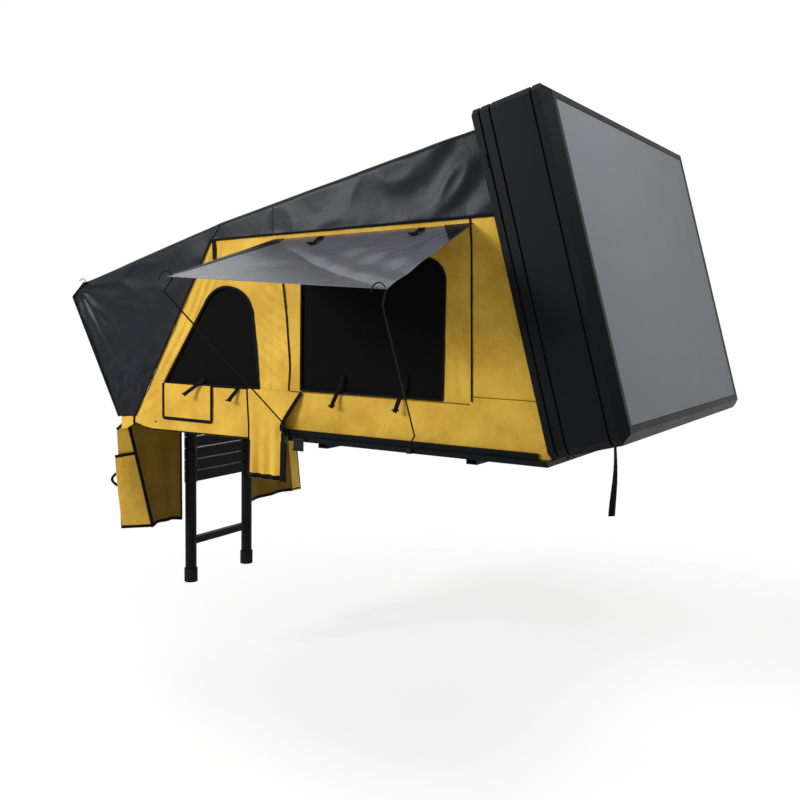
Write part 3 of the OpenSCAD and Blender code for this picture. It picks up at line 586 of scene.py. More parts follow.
def fan(window, centre, rows, turns=240):
    """Cloth that fills a window, as rings that close on its centre."""
    angle = np.linspace(-np.pi, np.pi, turns, endpoint=False)
    share = np.linspace(0.004, 1.0, rows)
    return on_rays(centre, angle, ray_reach(window, centre, angle)[:, None] * share[None])


def pleats(place, where, width, power, phase):
    """Folds, 0 to 2 deep, that fade out at a width on both sides of a place; phase gives their run."""
    return np.exp(-((place - where) / width) ** power) * (1.0 + np.sin(phase))


def wall_depth(x, z):
    """Depth of the walls' cloth inwards from its outer plane: soft creases all over, long folds beside the
    leaning seam, slanting wrinkles between the windows, upright ones beside the lid, drag lines at the lower
    corner, a sewn line at the sill, and a tuck behind the fly."""
    soft = 1.8 + ripples(x, z, 3, 1.0, 240.0) + ripples(x, z, 4, 0.7, 75.0)
    way = (DOOR_HEAD - DOOR_FOOT) / np.linalg.norm(DOOR_HEAD - DOOR_FOOT)
    across = (x - DOOR_FOOT[0]) * way[1] - (z - DOOR_FOOT[1]) * way[0]
    along = (x - DOOR_FOOT[0]) * way[0] + (z - DOOR_FOOT[1]) * way[1]
    above = smooth((z - 255.0) / 60.0) * smooth((950.0 - z) / 80.0)
    beside = pleats(across, 72.0, 52.0, 2, across / 7.0 + 1.5 * np.sin(along / 130.0))
    slant = pleats(x, -690.0, 75.0, 4, (z + 0.55 * x) / 10.0 + 2.2 * np.sin(z / 85.0))
    upright = pleats(x, 290.0, 48.0, 4, (x + 0.15 * z) / 9.0 + np.sin(z / 110.0))
    corner = np.exp(-((x + 1490.0) / 80.0) ** 2 - ((z - 140.0) / 80.0) ** 2)
    drawn = corner * (1.0 + np.sin((0.55 * x - 0.83 * z) / 9.0))
    sewn = 1.6 * np.exp(-((z - 252.0) / 5.0) ** 2)
    tuck = 9.0 * smooth((z - fly_z(x)) / 40.0)
    folds = (3.3 * beside + 3.5 * slant + 3.3 * upright) * above
    return np.clip(soft + folds + 3.0 * drawn + sewn, 0.0, 7.0) + tuck


def behind(x):
    """How deep the floor's cloth lies behind the base's where they lap."""
    return 1.8 * smooth((x - SPLIT_X + 12.0) / 10.0)


# Pieces

def colour(name, description, code):
    """Colour property with a hex value as its default."""
    return bpy.props.FloatVectorProperty(name=name, description=description, subtype="COLOR",
                                         default=linear(code))


def length(name, description, default, low, high):
    """Length property, in metres."""
    return bpy.props.FloatProperty(name=name, description=description, unit="LENGTH", default=default,
                                   min=low, max=high)


class TentColours(bpy.types.PropertyGroup):
    """Colours of the tent's finishes."""
    canvas: colour("Canvas", "Yellow canvas", "#d9b143")
    canvas_deep: colour("Canvas, deep", "Yellow canvas between its threads", "#b88e29")
    # Canvas back colours: the back's browner tone, darkened with painted shade for the skirts that hang in
    # shade under the floor
    canvas_back_in_shade: colour("Canvas back", "Back of the yellow canvas", "#7c5d14")
    canvas_back_in_shade_deep: colour("Canvas back, deep", "Back of the canvas between its threads", "#5e460d")
    fly: colour("Fly", "Black fly and hood", "#15181f")
    fly_deep: colour("Fly, deep", "Black fly between its threads", "#0e1016")
    awning: colour("Awning", "Grey awning", "#565962")
    awning_deep: colour("Awning, deep", "Grey awning between its threads", "#464951")
    mattress: colour("Mattress", "Mattress cover", "#77797d")
    mattress_deep: colour("Mattress, deep", "Mattress cover between its loops", "#55575b")
    mesh: colour("Mesh", "Window mesh", "#0a0a0a")
    binding: colour("Binding", "Webbing and binding", "#0e0e10")
    shell: colour("Shell", "Black lid frame, tray and ladder", "#060709")
    shell_worn: colour("Shell, rubbed", "Rubbed powder coat", "#0c0d10")
    panel: colour("Lid panel", "Grey lid panel", "#595a5f")
    panel_worn: colour("Lid panel, rubbed", "Grey lid panel where it is handled", "#606166")
    steel: colour("Fittings", "Black steel fittings", "#08090a")


class TentSizes(bpy.types.PropertyGroup):
    """Sizes of the trim that a user may change."""
    binding_w: length("Binding", "Width of the black edge binding", 0.016, 0.006, 0.03)
    piping_w: length("Piping", "Width of the black piping in the walls", 0.009, 0.004, 0.02)
    strap_w: length("Strap", "Width of the toggle straps", 0.02, 0.008, 0.03)
    wrinkle: length("Wrinkles", "Depth of the creases in the black fly", 0.003, 0.0, 0.008)


def size(name):
    """One of the trim's sizes in millimetres."""
    return getattr(bpy.context.scene.tent_sizes, name) / METRE


class TENT_OT_walls(bpy.types.Operator):
    """Canvas side walls with their window holes, over the base and over the fold-out floor"""
    bl_idname = "tent.walls"
    bl_label = "Side walls"

    def execute(self, context):
        walls = {"wall": (BASE_WALL, ["tray", "lid_frame"]),
                 "floor_wall": (FLOOR_WALL, ["fold_floor", "roof_bow"])}
        for side, name in SIDES:
            for node, (wall, rests_on) in walls.items():
                window, centre, body = WINDOWS[node]
                plan = around(wall, window, centre, 46)
                x, z = plan[..., 0], plan[..., 1]
                y = side * (WALL_OUT - 0.6 - wall_depth(x, z) - (behind(x) if body == "floor" else 0.0))
                stretched(f"canvas_{node}_{name}", CANVAS, plan, np.stack([x, y, z], axis=-1),
                          body, [f"{node}_{name}"])
        return {"FINISHED"}


class TENT_OT_nets(bpy.types.Operator):
    """Insect mesh in the side windows"""
    bl_idname = "tent.nets"
    bl_label = "Window nets"

    def execute(self, context):
        nets = {"window_net": "wall", "floor_net": "floor_wall"}
        for side, name in SIDES:
            for node, wall in nets.items():
                window, centre, body = WINDOWS[wall]
                wide = centre + (window - centre) * 1.045
                plan = fan(wide, centre, 20)
                x, z = plan[..., 0], plan[..., 1]
                y = side * (WALL_IN - 4.5 - np.abs(ripples(x, z, 11, 1.5, 400.0)))
                stretched(f"mesh_{node}_{name}", NET, plan, np.stack([x, y, z], axis=-1),
                          body, [f"{node}_{name}"])
        return {"FINISHED"}


ROOF_CORNER = 26.0


def hoop(side, crown, creases, slack):
    """Roof cloth over a row of sections. side is a grid of (x, z) from the hem up to just below the roof's
    edge; each section then turns over in a quarter circle, crosses with a crown, and mirrors down the other
    side. creases is a function of (x, y, z) that gives how far the cloth lies in from its outer place, and
    slack one of (x, z) that says how much of that its sides take."""
    half = FLY_OUT - 1.0
    turn = np.radians(np.linspace(0.0, 90.0, 7)[1:])
    arc_y, arc_z = half - ROOF_CORNER * (1.0 - np.cos(turn)), ROOF_CORNER * np.sin(turn)
    across = np.linspace(-1.0, 1.0, 82)[1:-1] * (half - ROOF_CORNER)
    n, k = side.shape[:2]
    top = side[:, -1]
    y = np.concatenate([np.full(k, -half), -arc_y, across, arc_y[::-1], np.full(k, half)])
    y = np.broadcast_to(y, (n, len(y)))
    lift = np.concatenate([arc_z, np.full(len(across), ROOF_CORNER), arc_z[::-1]])
    x = np.hstack([side[..., 0], np.repeat(top[:, :1], len(lift), axis=1), side[:, ::-1, 0]])
    z = np.hstack([side[..., 1], top[:, 1:] + lift[None], side[:, ::-1, 1]])
    z = z + crown[:, None] * np.clip(1.0 - (y / (half - ROOF_CORNER)) ** 2, 0.0, 1.0)
    depth = np.abs(creases(x, y, z))
    upright = smooth((np.abs(y) - half + ROOF_CORNER) / ROOF_CORNER)
    z = z - depth * smooth((half - np.abs(y)) / 60.0)
    y = y - np.sign(y) * np.minimum(depth, slack(x, z)) * upright
    return np.stack([x, y, z], axis=-1)


def straight_side(low, top, count=20):
    """Side of a roof cloth: straight from its hem to just below the roof's edge."""
    head = top - [0.0, ROOF_CORNER]
    rise = np.linspace(0.0, 1.0, count)[None, :, None]
    return low[:, None] + (head - low)[:, None] * rise


def packed(x, y, z):
    """Creases that packing leaves in the fly and the hood."""
    return ripples(x + 0.4 * y, z + 0.25 * y, 21, size("wrinkle"), 330.0)


def fly_slack(x, z):
    """How deep the sides of the fly may crease: little at its hem, more towards the roof's edge."""
    return 2.0 + 8.0 * smooth((z - fly_z(x)) / 60.0)


class TENT_OT_roof_fly(bpy.types.Operator):
    """Black fly over the base, from the floor's fold up into the open lid"""
    bl_idname = "tent.roof_fly"
    bl_label = "Roof fly"

    def execute(self, context):
        wrinkle = size("wrinkle")
        s = np.linspace(0.0, 1.0, 150)
        top_x = SPLIT_X + (ROOF_LID[0] + 30.0 - SPLIT_X) * s
        low_x = SPLIT_X + (FLY_LID[0] + 6.0 - SPLIT_X) * s
        low = np.column_stack([low_x, fly_z(np.minimum(low_x, FLY_LAST))])
        side = straight_side(low, np.column_stack([top_x, roof_z(top_x)]))

        def creases(x, y, z):
            drag = np.exp(-((x - ROOF_LID[0]) / 460.0) ** 2)
            pulled = np.sin((z - 0.5 * x + 0.2 * y) / 36.0 + 1.7 * np.sin((x + 0.4 * z - 0.3 * y) / 105.0))
            return packed(x, y, z) + 1.6 * wrinkle * (1.0 + pulled) * drag

        grid = hoop(side, -14.0 * np.sin(np.pi * s), creases, fly_slack)
        cloth("oxford_roof_fly", grid, "fly", CLOTH_T, "base", "lid",
              ["roof_fly"])
        return {"FINISHED"}


class TENT_OT_hood(bpy.types.Operator):
    """Black hood: roof strip over the bow, long porch roof with its lip, and sides down to the panel's end"""
    bl_idname = "tent.hood"
    bl_label = "Hood"

    def execute(self, context):
        wrinkle = size("wrinkle")
        x = np.linspace(SPLIT_X + LAP, RIDGE[0], 36)
        low_x = np.linspace(SPLIT_X + LAP, DOOR_HEAD[0], 36)
        low = np.column_stack([low_x, fly_z(low_x)])
        strip = straight_side(low, np.column_stack([x, roof_z(x)]))

        # The strip laps under the fly
        def under(x, y, z):
            return np.abs(packed(x, y, z)) + behind(x)

        def under_slack(x, z):
            return fly_slack(x, z) + behind(x)

        head = hoop(strip, np.linspace(-2.0, -1.0, 36), under, under_slack)
        v = np.linspace(1.0, 0.0, 64)
        seam = np.array([RIDGE - [0, ROOF_CORNER], DOOR_HEAD, DOOR_FOOT - [0, 4]])
        front = np.array([HOOD_TIP - [0, ROOF_CORNER], HOOD_LIP, HOOD_FOOT])
        back_line, front_line = (np.column_stack([np.interp(v, [0.0, 0.1, 1.0], line[:, i]) for i in (0, 1)])
                                 for line in (seam, front))
        t = np.linspace(0.0, 1.0, 96)
        porch = back_line[None] + (front_line - back_line)[None] * t[:, None, None]

        def radiating(x, y, z):
            """Folds that spread from the tip, 24 degrees apart, and wrinkles above the hood's foot."""
            dx, dz = x - HOOD_TIP[0] + 50.0, z - HOOD_TIP[1] + 37.0
            heading, reach = np.arctan2(dz, dx), np.hypot(dx, dz)
            near = np.exp(-reach / 340.0) * smooth(reach / 90.0)
            rays = near * (1.0 + np.sin(heading * 15.0 + 0.9 * np.sin(heading * 7.0) + 1.9))
            foot = ripples(x + 0.3 * y, z, 27, 1.1 * wrinkle, 95.0) * np.exp(-((z - 190.0) / 170.0) ** 2)
            return packed(x, y, z) + 2.6 * wrinkle * rays + foot

        def porch_slack(x, z):
            return 2.5 + 13.0 * smooth((seam_x(z) - x) / 110.0)

        body = hoop(porch, -26.0 * np.sin(np.pi * t), radiating, porch_slack)
        piece = make_piece("oxford_hood", [patch(head), patch(body)], "fly", CLOTH_T)
        hold(piece, "floor", ["hood"], "floor")
        lip_y, drop = np.meshgrid(np.linspace(-1.0, 1.0, 90) * (FLY_OUT - 8.0), np.linspace(0.0, 1.0, 10),
                                  indexing="ij")
        wave = 5.0 * drop * np.sin(lip_y / 85.0 + 1.2 * np.sin(lip_y / 190.0))
        lip = np.stack([HOOD_TIP[0] + 2.0 + (HOOD_LIP[0] - HOOD_TIP[0]) * drop + np.abs(wave), lip_y,
                        HOOD_TIP[1] - 2.0 + (HOOD_LIP[1] - HOOD_TIP[1]) * drop - wave], axis=-1)
        cloth("oxford_hood_lip", lip, "fly", CLOTH_T, "floor", "floor")
        return {"FINISHED"}


def door_frame(y, s):
    """Place on the leaning entrance wall: y across and s up the seam, a little inside the hood's edge."""
    along = (DOOR_HEAD - DOOR_FOOT) / np.linalg.norm(DOOR_HEAD - DOOR_FOOT)
    return DOOR_FOOT[0] + along[0] * s + 3.0, y, DOOR_FOOT[1] + along[1] * s


def door_cloth(plan, inwards, seed, apart):
    """Creased cloth over a plan of the entrance wall."""
    x, y, z = door_frame(plan[..., 0], plan[..., 1])
    return np.stack([x + inwards + np.abs(ripples(y, z, seed, 2.0, apart)), y, z], axis=-1)


class TENT_OT_door_wall(bpy.types.Operator):
    """Entrance wall under the hood, with its zipped mesh door"""
    bl_idname = "tent.door_wall"
    bl_label = "Entrance wall"

    def execute(self, context):
        lean = np.linalg.norm(DOOR_HEAD - DOOR_FOOT) / (DOOR_HEAD[1] - DOOR_FOOT[1])
        low, high, sill, head = ((z - DOOR_FOOT[1]) * lean
                                 for z in (FLOOR_Z + 1.0, DOOR_HEAD[1] - 8.0, 153.0, 840.0))
        outline = np.array([[-918.0, low], [918.0, low], [918.0, high], [-918.0, high]])
        door = arched(-500.0, 500.0, sill, head, 120.0)
        centre = np.array([0.0, (sill + head) / 2])
        plan = around(outline, door, centre, 30)
        stretched("canvas_door_wall", CANVAS, plan, door_cloth(plan, 0.0, 31, 260.0),
                  "floor", ["door_wall"])
        lapped = centre + (door - centre) * 1.04
        plan = fan(lapped, centre, 16)
        stretched("mesh_door", NET, plan, door_cloth(plan, 4.5, 33, 300.0),
                  "floor")
        x, y, z = door_frame(*through(np.vstack([door[1:], door[:1]]), 20.0).T)
        path = np.column_stack([x - 1.5, y, z])
        trim("zip_door", [tape(path, (-1.0, 0.0, 0.0), 22.0, 3.0)], "floor", "floor")
        return {"FINISHED"}


def flap_grid(u, v, side, out=0.0):
    """Flap over the floor's fold: out over the tray's edge to a knee, then down, drawn in to a narrower hem,
    with three pleats that open to its hem and a drag fold across its upper part. out lifts trim off it."""
    top, low, knee = 245.0, -172.0, 84.0
    z = top + (low - top) * v
    s = np.minimum(1.0, (top - z) / (top - knee))
    folds = 7.0 * (1.0 - np.cos(6.0 * np.pi * u)) * v ** 1.5
    drag = 9.0 * s * np.exp(-((u - 0.15 - 0.8 * s) / 0.1) ** 2) * smooth((0.62 - v) / 0.2)
    x = -849.0 + 48.0 * s + (333.0 - 136.0 * s) * u
    y = WALL_OUT + 3.3 + (971.0 - WALL_OUT - 3.3) * (s + 0.04 * np.sin(np.pi * s)) + folds - drag
    return np.stack([x, side * (y - 1.0 + out), z], axis=-1)


class TENT_OT_hinge_flaps(bpy.types.Operator):
    """Flaps that cover the floor's fold on both sides, with wide black bindings"""
    bl_idname = "tent.hinge_flaps"
    bl_label = "Fold flaps"

    def execute(self, context):
        u, v = unit_grid(96, 90)
        # Each binding: its run over the flap from (u, v) to (u, v), and its width
        strips = (((0.01, 0.0), (0.02, 0.58), 10.0), ((0.05, 0.57), (0.05, 1.0), 22.0),
                  ((0.985, 0.0), (0.97, 0.44), 20.0), ((1.05, 0.44), (1.05, 0.57), 22.0),
                  ((1.09, 0.56), (1.09, 1.0), 38.0), ((0.0, 0.97), (1.18, 0.97), 24.0))
        share = np.linspace(0.0, 1.0, 60)
        for side, name in SIDES:
            cloth(f"canvas_hinge_flap_{name}", flap_grid(u, v, side), "canvas", HEAVY_T, "base",
                  "flap", [f"hinge_flap_{name}"])
            edges = []
            for a, b, width in strips:
                line = (a[k] + (b[k] - a[k]) * share for k in (0, 1))
                edges.append(tape(flap_grid(*line, side, 1.2), (0, side, 0), width))
            trim(f"binding_hinge_flap_{name}", edges, "base", "flap")
        return {"FINISHED"}


# The near skirt's wing: the way it runs out, its face's normal and its share of the skirt
WING_WAY, WING_FACE, WING_SHARE = np.array([-0.68, -0.73, 0.0]), np.array([0.73, -0.68, 0.0]), 0.3


def near_skirt(u, v):
    """Near skirt: up to u = 0.3 a wing that runs out from a leaning seam, from 55 mm at its top to 164 mm at
    its hem; beyond it the part under the panel's end, with folds 9 v (1 - cos) deep, clear of the ladder."""
    out = np.maximum(0.0, 1.0 - u / WING_SHARE)
    k = np.maximum(0.0, u - WING_SHARE) / (1.0 - WING_SHARE)
    seam, end = -890.0 + 181.0 * v, -484.5
    head = SKIRT_TOP - 54.0 * out
    x = SKIRT_X - 9.0 * v * (1.0 - np.cos(4.0 * np.pi * k))
    y = seam + (end - seam) * k
    z = head + (SKIRT_LOW + 12.0 * np.sin(np.pi * k) - head) * v
    reach = out * (55.0 + 109.0 * v)
    return np.stack([x, y, z], axis=-1) + reach[..., None] * WING_WAY


def far_skirt(u, v):
    """Far skirt: folds 9 v (1 - cos) deep as on the near one, its outer edge leaning out towards the hem."""
    x = SKIRT_X - 9.0 * v * (1.0 - np.cos(5.0 * np.pi * u))
    y = 104.5 + (443.0 + 119.5 * v) * u
    z = SKIRT_TOP + (SKIRT_LOW + 12.0 * np.sin(np.pi * u) - SKIRT_TOP) * v
    return np.stack([x, y, z], axis=-1)


class TENT_OT_skirts(bpy.types.Operator):
    """Skirts under the fold-out floor's end on both sides of the ladder, with wing, pocket and bindings"""
    bl_idname = "tent.skirts"
    bl_label = "Skirts"

    def execute(self, context):
        run, one, rear = np.linspace(0.0, 1.0, 80), np.ones(80), (1.0, 0.0, 0.0)
        u, v = unit_grid(96, 80)
        # The skirts' main parts take the canvas back, darkened with painted shade; the wing and the pocket
        # take the plain canvas
        cuts = (("near", near_skirt(WING_SHARE + (1.0 - WING_SHARE) * u, v), "canvas_back_in_shade", ["skirt_near"]),
                ("wing", near_skirt(WING_SHARE * u, v), "canvas", []),
                ("far", far_skirt(u, v), "canvas_back_in_shade", ["skirt_far"]),
                # Painted light: a strip of the plain, lighter canvas laid 2.2 mm off the far skirt's outer
                # fifth, where light falls on its edge
                ("far_lit_edge", far_skirt(0.8 + 0.2 * u, v) + [2.2, 0.0, 0.0], "canvas", []))
        for name, grid, material, nodes in cuts:
            cloth(f"canvas_skirt_{name}", grid, material, HEAVY_T, "floor", "skirt",
                  nodes)
        # Pocket on the wing, open at its top and bulging off the wing's face
        s, w = unit_grid(50, 70)
        puff = 4.0 + 15.0 * np.sin(np.pi * s) ** 0.7 * np.sin(np.pi * (0.12 + 0.8 * w))
        grid = near_skirt(-0.06 * (1.0 - w) + (0.285 + 0.06 * (1.0 - w)) * s,
                          0.26 + 0.05 * s + (0.71 - 0.05 * s) * w)
        grid = grid + puff[..., None] * WING_FACE
        cloth("canvas_skirt_pocket", grid, "canvas", HEAVY_T, "floor", "skirt")
        # Each binding: u and v along it, its face's normal, width and height
        hem, wing = 0.985 * one, WING_SHARE * run
        lines = ((WING_SHARE * one, run, rear, 22.0, 6.0), (wing, 0.01 * one, WING_FACE, 14.0, 5.0),
                 (wing, hem, WING_FACE, 20.0, 6.0),
                 (WING_SHARE + (1.0 - WING_SHARE) * run, hem, rear, 20.0, 5.0),
                 (0.99 * one, run, rear, 14.0, 5.0), (0.0 * one, 0.3 + 0.7 * run, WING_FACE, 12.0, 5.0))
        bands = [tape(near_skirt(a, b), face, width, height) for a, b, face, width, height in lines]
        bow = near_skirt(-0.03 * one, 0.43 + 0.13 * run) + 28.0 * np.sin(np.pi * run)[:, None] * WING_WAY
        bands += [tape(grid[:, 0], WING_FACE, 16.0, 5.0), tape(bow, WING_FACE, 14.0, 4.0)]
        trim("binding_skirt_near", bands, "floor", "skirt")
        lines = ((0.988 * one, run, 18.0, 6.0), (0.012 * one, run, 14.0, 5.0), (run, hem, 20.0, 6.0))
        bands = [tape(far_skirt(a, b), rear, width, height) for a, b, width, height in lines]
        trim("binding_skirt_far", bands, "floor", "skirt")
        return {"FINISHED"}


class TENT_OT_valance(bpy.types.Operator):
    """Canvas valance wrapped round the end of the fold-out panel, with a small black strap on each side"""
    bl_idname = "tent.valance"
    bl_label = "Panel valance"

    def execute(self, context):
        half, start, end, r, top = 923.4, -1607.0, FLOOR_END - 20.0, 18.0, 57.0
        turn = np.linspace(0.0, np.pi / 2, 10)
        near = np.column_stack([end + r - r * np.sin(turn), -half + r - r * np.cos(turn)])
        path = np.vstack([[[start, -half]], near, (near * [1.0, -1.0])[::-1], [[start, half]]])
        path = through(path, 10.0)
        drop = np.linspace(0.0, 1.0, 14)
        low = np.interp(path[:, 0], [end, -1664.0, start], [-19.0, -11.0, 17.0])
        low = low + 4.0 * np.sin(path[:, 1] / 60.0) * (np.abs(path[:, 1]) < half - r)
        z = top + (low - top)[:, None] * drop
        bulge = 2.0 * np.sin(np.pi * drop) * (1.0 + np.sin(path[:, 1] / 45.0))[:, None]
        x = path[:, :1] - bulge * (np.abs(path[:, 1:]) < half - r)
        grid = np.stack([x, np.broadcast_to(path[:, 1:], z.shape), z], axis=-1)
        cloth("canvas_valance", grid, "canvas", CLOTH_T, "floor", "skirt")
        for side, name in SIDES:
            y = side * (half + 2.0)
            strap = curve([[start + 1.0, y, top + 1.0], [start, y + side, 36.0], [start + 1.0, y, 12.0]], 24)
            trim(f"strap_valance_{name}", [tape(strap, (0.0, side, 0.0), 11.0)], "floor", "skirt")
        return {"FINISHED"}


class TENT_OT_side_pocket(bpy.types.Operator):
    """Canvas pocket on the near wall beside the entrance, bound in black"""
    bl_idname = "tent.side_pocket"
    bl_label = "Side pocket"

    def execute(self, context):
        x0, x1, z0, z1 = -1395.0, -1072.0, 65.0, 243.0
        u, v = unit_grid(90, 50)
        x, z = x0 + (x1 - x0) * u, z0 + (z1 - z0) * v
        inside = np.sin(np.pi * u) ** 0.5 * np.sin(np.pi * (0.12 + 0.76 * v))
        puff = inside * (2.4 + ripples(x, z, 41, 0.9, 70.0))
        cloth("canvas_side_pocket", np.stack([x, -WALL_OUT - 1.6 - puff, z], axis=-1), "canvas", CLOTH_T,
              "floor", "floor", ["side_pocket"])
        y = -WALL_OUT - 3.0
        route = through([[x0, y, z1], [x0, y, z0], [x1, y, z0], [x1, y, z1]], 12.0)
        trim("binding_side_pocket", [tape(route, (0.0, -1.0, 0.0), size("binding_w"))], "floor", "floor")
        return {"FINISHED"}


def awning_sheet(u, v):
    """Awning: its plane breaks along the line u = v, from its upper entrance corner to its far tip, where it
    hangs 165 min(u, v) (1 - max(u, v)) lower; folds 9 sin(2 pi (u - v) / 0.3) run beside the break on the far
    half, and drag creases fan out from the upper far corner."""
    x, y, z = awning_point(u, v)
    sag = 165.0 * np.minimum(u, v) * (1.0 - np.maximum(u, v)) + 10.0 * np.sin(np.pi * u) * np.sin(np.pi * v)
    past = np.maximum(u - v, 0.0)
    folds = 9.0 * np.sin(2.0 * np.pi * past / 0.3) * np.exp(-past / 0.3) * np.sin(np.pi * v)
    heading, reach = np.arctan2(v, 1.0 - u + 1e-6), np.hypot(1.0 - u, v)
    near = np.exp(-reach / 0.5) * smooth(reach / 0.12)
    drag = 6.0 * np.sin(heading * 16.0) * near * np.sin(np.pi * np.clip(v, 0, 1))
    return np.stack([x, y, z - sag + folds + drag], axis=-1)


class TENT_OT_awning(bpy.types.Operator):
    """Grey awning over the near window, with bound edges and a doubled corner"""
    bl_idname = "tent.awning"
    bl_label = "Window awning"

    def execute(self, context):
        cloth("oxford_awning", awning_sheet(*unit_grid(150, 120)), "awning", CLOTH_T, "awning",
              "awning", ["window_awning"])
        run, one = np.linspace(0.0, 1.0, 60), np.ones(60)
        hems = [tape(awning_sheet(a, b), UP, 12.0, 3.0) for a, b in ((0.995 * one, run), (run, 0.993 * one))]
        trim("hem_awning", hems, "awning", "awning", "awning", "grey_canvas")
        # On the upper face: a doubled edge on the entrance side, tapering to its tip, and a doubled corner
        s, w = unit_grid(30, 30)
        doubled = (("edge", awning_sheet(0.055 * s * (1.0 - w), w), (0.057, 0.725)),
                   ("corner", awning_sheet(1.0 - 0.13 * s, 0.30 * w * (1.0 - s)), (0.134, 0.221)))
        for name, cut, flat in doubled:
            edge = make_piece(f"oxford_awning_{name}", [patch(cut + 2.2 * UP)], "fly", DOUBLED_T)
            hold(edge, "awning", squash="awning")
        return {"FINISHED"}


class TENT_OT_pull_strap(bpy.types.Operator):
    """Webbing strap that hangs from the rear of the tray and turns a little on its way down"""
    bl_idname = "tent.pull_strap"
    bl_label = "Pull strap"

    def execute(self, context):
        v = np.linspace(0.0, 1.0, 70)
        sway = 6.0 * np.sin(np.radians(250.0) * v)
        path = np.column_stack([698.5 + sway, -66.0 + 8.0 * v, 21.7 - 360.0 * v])
        turn = np.radians(40.0 * smooth(v))
        face = np.column_stack([np.cos(turn), -np.sin(turn), np.zeros(70)])
        piece = make_piece("webbing_pull_strap", [tape(path, face, 38.0)], "webbing", closed=True)
        hold(piece, "base", ["pull_strap"])
        return {"FINISHED"}


def on_wall(points, side, stand):
    """Line through (x, z) points on a side wall, standing a little off its outer plane."""
    line = through(points, 12.0)
    return np.column_stack([line[:, 0], np.full(len(line), side * (WALL_OUT + stand)), line[:, 1]])


class TENT_OT_wall_trim(bpy.types.Operator):
    """Black piping, window bands, seams and bindings on the side walls, the fly and the hood"""
    bl_idname = "tent.wall_trim"
    bl_label = "Wall trim"

    def execute(self, context):
        piping = size("piping_w")
        # How far tapes stand off the wall's plane: on the wall, sewn into it, and on the fly
        wall, sewn, fly = 0.4, 0.2, FLY_OUT - WALL_OUT - 0.2
        left = curve([[-652.0, 935.0], [-640.0, 800.0], [-634.0, 747.0], [-613.0, 603.0], [-596.0, 430.0],
                      [-591.0, 354.0], [-597.0, 250.0]], 50)
        # The sewn seams take the canvas back, whose colour holds painted shade, as darker lines
        black, yellow = ("webbing", "webbing"), ("canvas_back_in_shade", "yellow_canvas")
        # Each piece: its lines with their stand and width, its body, material and slot
        pieces = {
            "piping_wall": ("base", black, (
                (left, wall, piping), (ring(BASE_WINDOW), wall, 11.0),
                ([[332.0, fly_z(332.0) + 8.0], [343.0, 915.0], [361.0, 259.0]], wall, piping))),
            "seam_wall": ("base", yellow, (
                ([[-590.0, SILL_Z - 9.0], [350.0, SILL_Z - 9.0]], sewn, 4.0),
                ([[361.0, 280.0], [655.0, 280.0]], sewn, 3.0))),
            "piping_floor_wall": ("floor", black, (
                (ring(FLOOR_WINDOW), wall, 14.0), (WALL_HEM + [0.0, 4.0], wall, 7.0),
                ([[-1057.0, 957.0], [-1048.0, 800.0]], 1.2, 24.0))),
            "binding_hood": ("floor", black, (
                ([DOOR_FOOT, DOOR_HEAD, [SPLIT_X - 4.0, fly_z(SPLIT_X) + 4.0]], fly, 11.0),
                ([HOOD_TIP + [2.0, -6.0], HOOD_LIP + [4.0, 0.0], HOOD_FOOT + [4.0, 0.0]], fly, 12.0))),
            "binding_fly": ("base", black, (
                ([[SPLIT_X + 2.0, fly_z(SPLIT_X) + 4.0], [FLY_LAST, fly_z(FLY_LAST) + 4.0]], fly, 10.0),)),
        }
        for side, name in SIDES:
            for piece, (body, look, lines) in pieces.items():
                strips = [tape(on_wall(points, side, stand), (0.0, side, 0.0), width)
                          for points, stand, width in lines]
                trim(f"{piece}_{name}", strips, body, FOLD_OF[body], *look)
        return {"FINISHED"}


class TENT_OT_toggles(bpy.types.Operator):
    """Toggle straps at the window sills and on the awning, which tie up the rolled blinds"""
    bl_idname = "tent.toggles"
    bl_label = "Toggle straps"

    def execute(self, context):
        width = size("strap_w")
        # Each strap: (x, z) of its upper end on the net and of its free end, how far that stands out, body
        straps = (((-1115.0, 285.0), (-1204.0, 196.0), 55.0, "floor"),
                  ((-901.0, 253.0), (-936.0, 180.0), 30.0, "floor"),
                  ((-288.0, 338.0), (-329.0, 189.0), 32.0, "base"),
                  ((45.0, 355.0), (8.0, 192.0), 32.0, "base"))
        t = np.linspace(0.0, 1.0, 30)
        across = np.linspace(-17.0, 17.0, 9)[:, None] * [1.0, 0.0, 0.0]
        for side, name in SIDES:
            for i, (top, end, stand, body) in enumerate(straps):
                x, z = (top[k] + (end[k] - top[k]) * t for k in (0, 1))
                y = side * (WALL_OUT + 3.0 + stand * t ** 1.6)
                path = np.column_stack([x + 3.0 * np.sin(6.0 * t), y, z])
                parts = [tape(path, (0.3, side, 0.3), width),
                         cord(path[-3] + across + [0.0, side * 3.0, 0.0], 8.0, UP)]
                trim(f"toggle_{name}_{i + 1}", parts, body, FOLD_OF[body])
        # Two more lie on the awning, from the wall outwards
        for i, u in enumerate((0.267, 0.773)):
            path = awning_sheet(u + 0.012 * np.sin(3.0 * t), 0.02 + 0.125 * t) + 4.0 * UP
            path[:, 2] += 7.0 * np.sin(np.pi * t)
            parts = [tape(path, UP, width + 6.0), cord(path[-3] + 1.3 * across + 5.0 * UP, 10.0)]
            trim(f"toggle_awning_{i + 1}", parts, "awning", "awning")
        return {"FINISHED"}


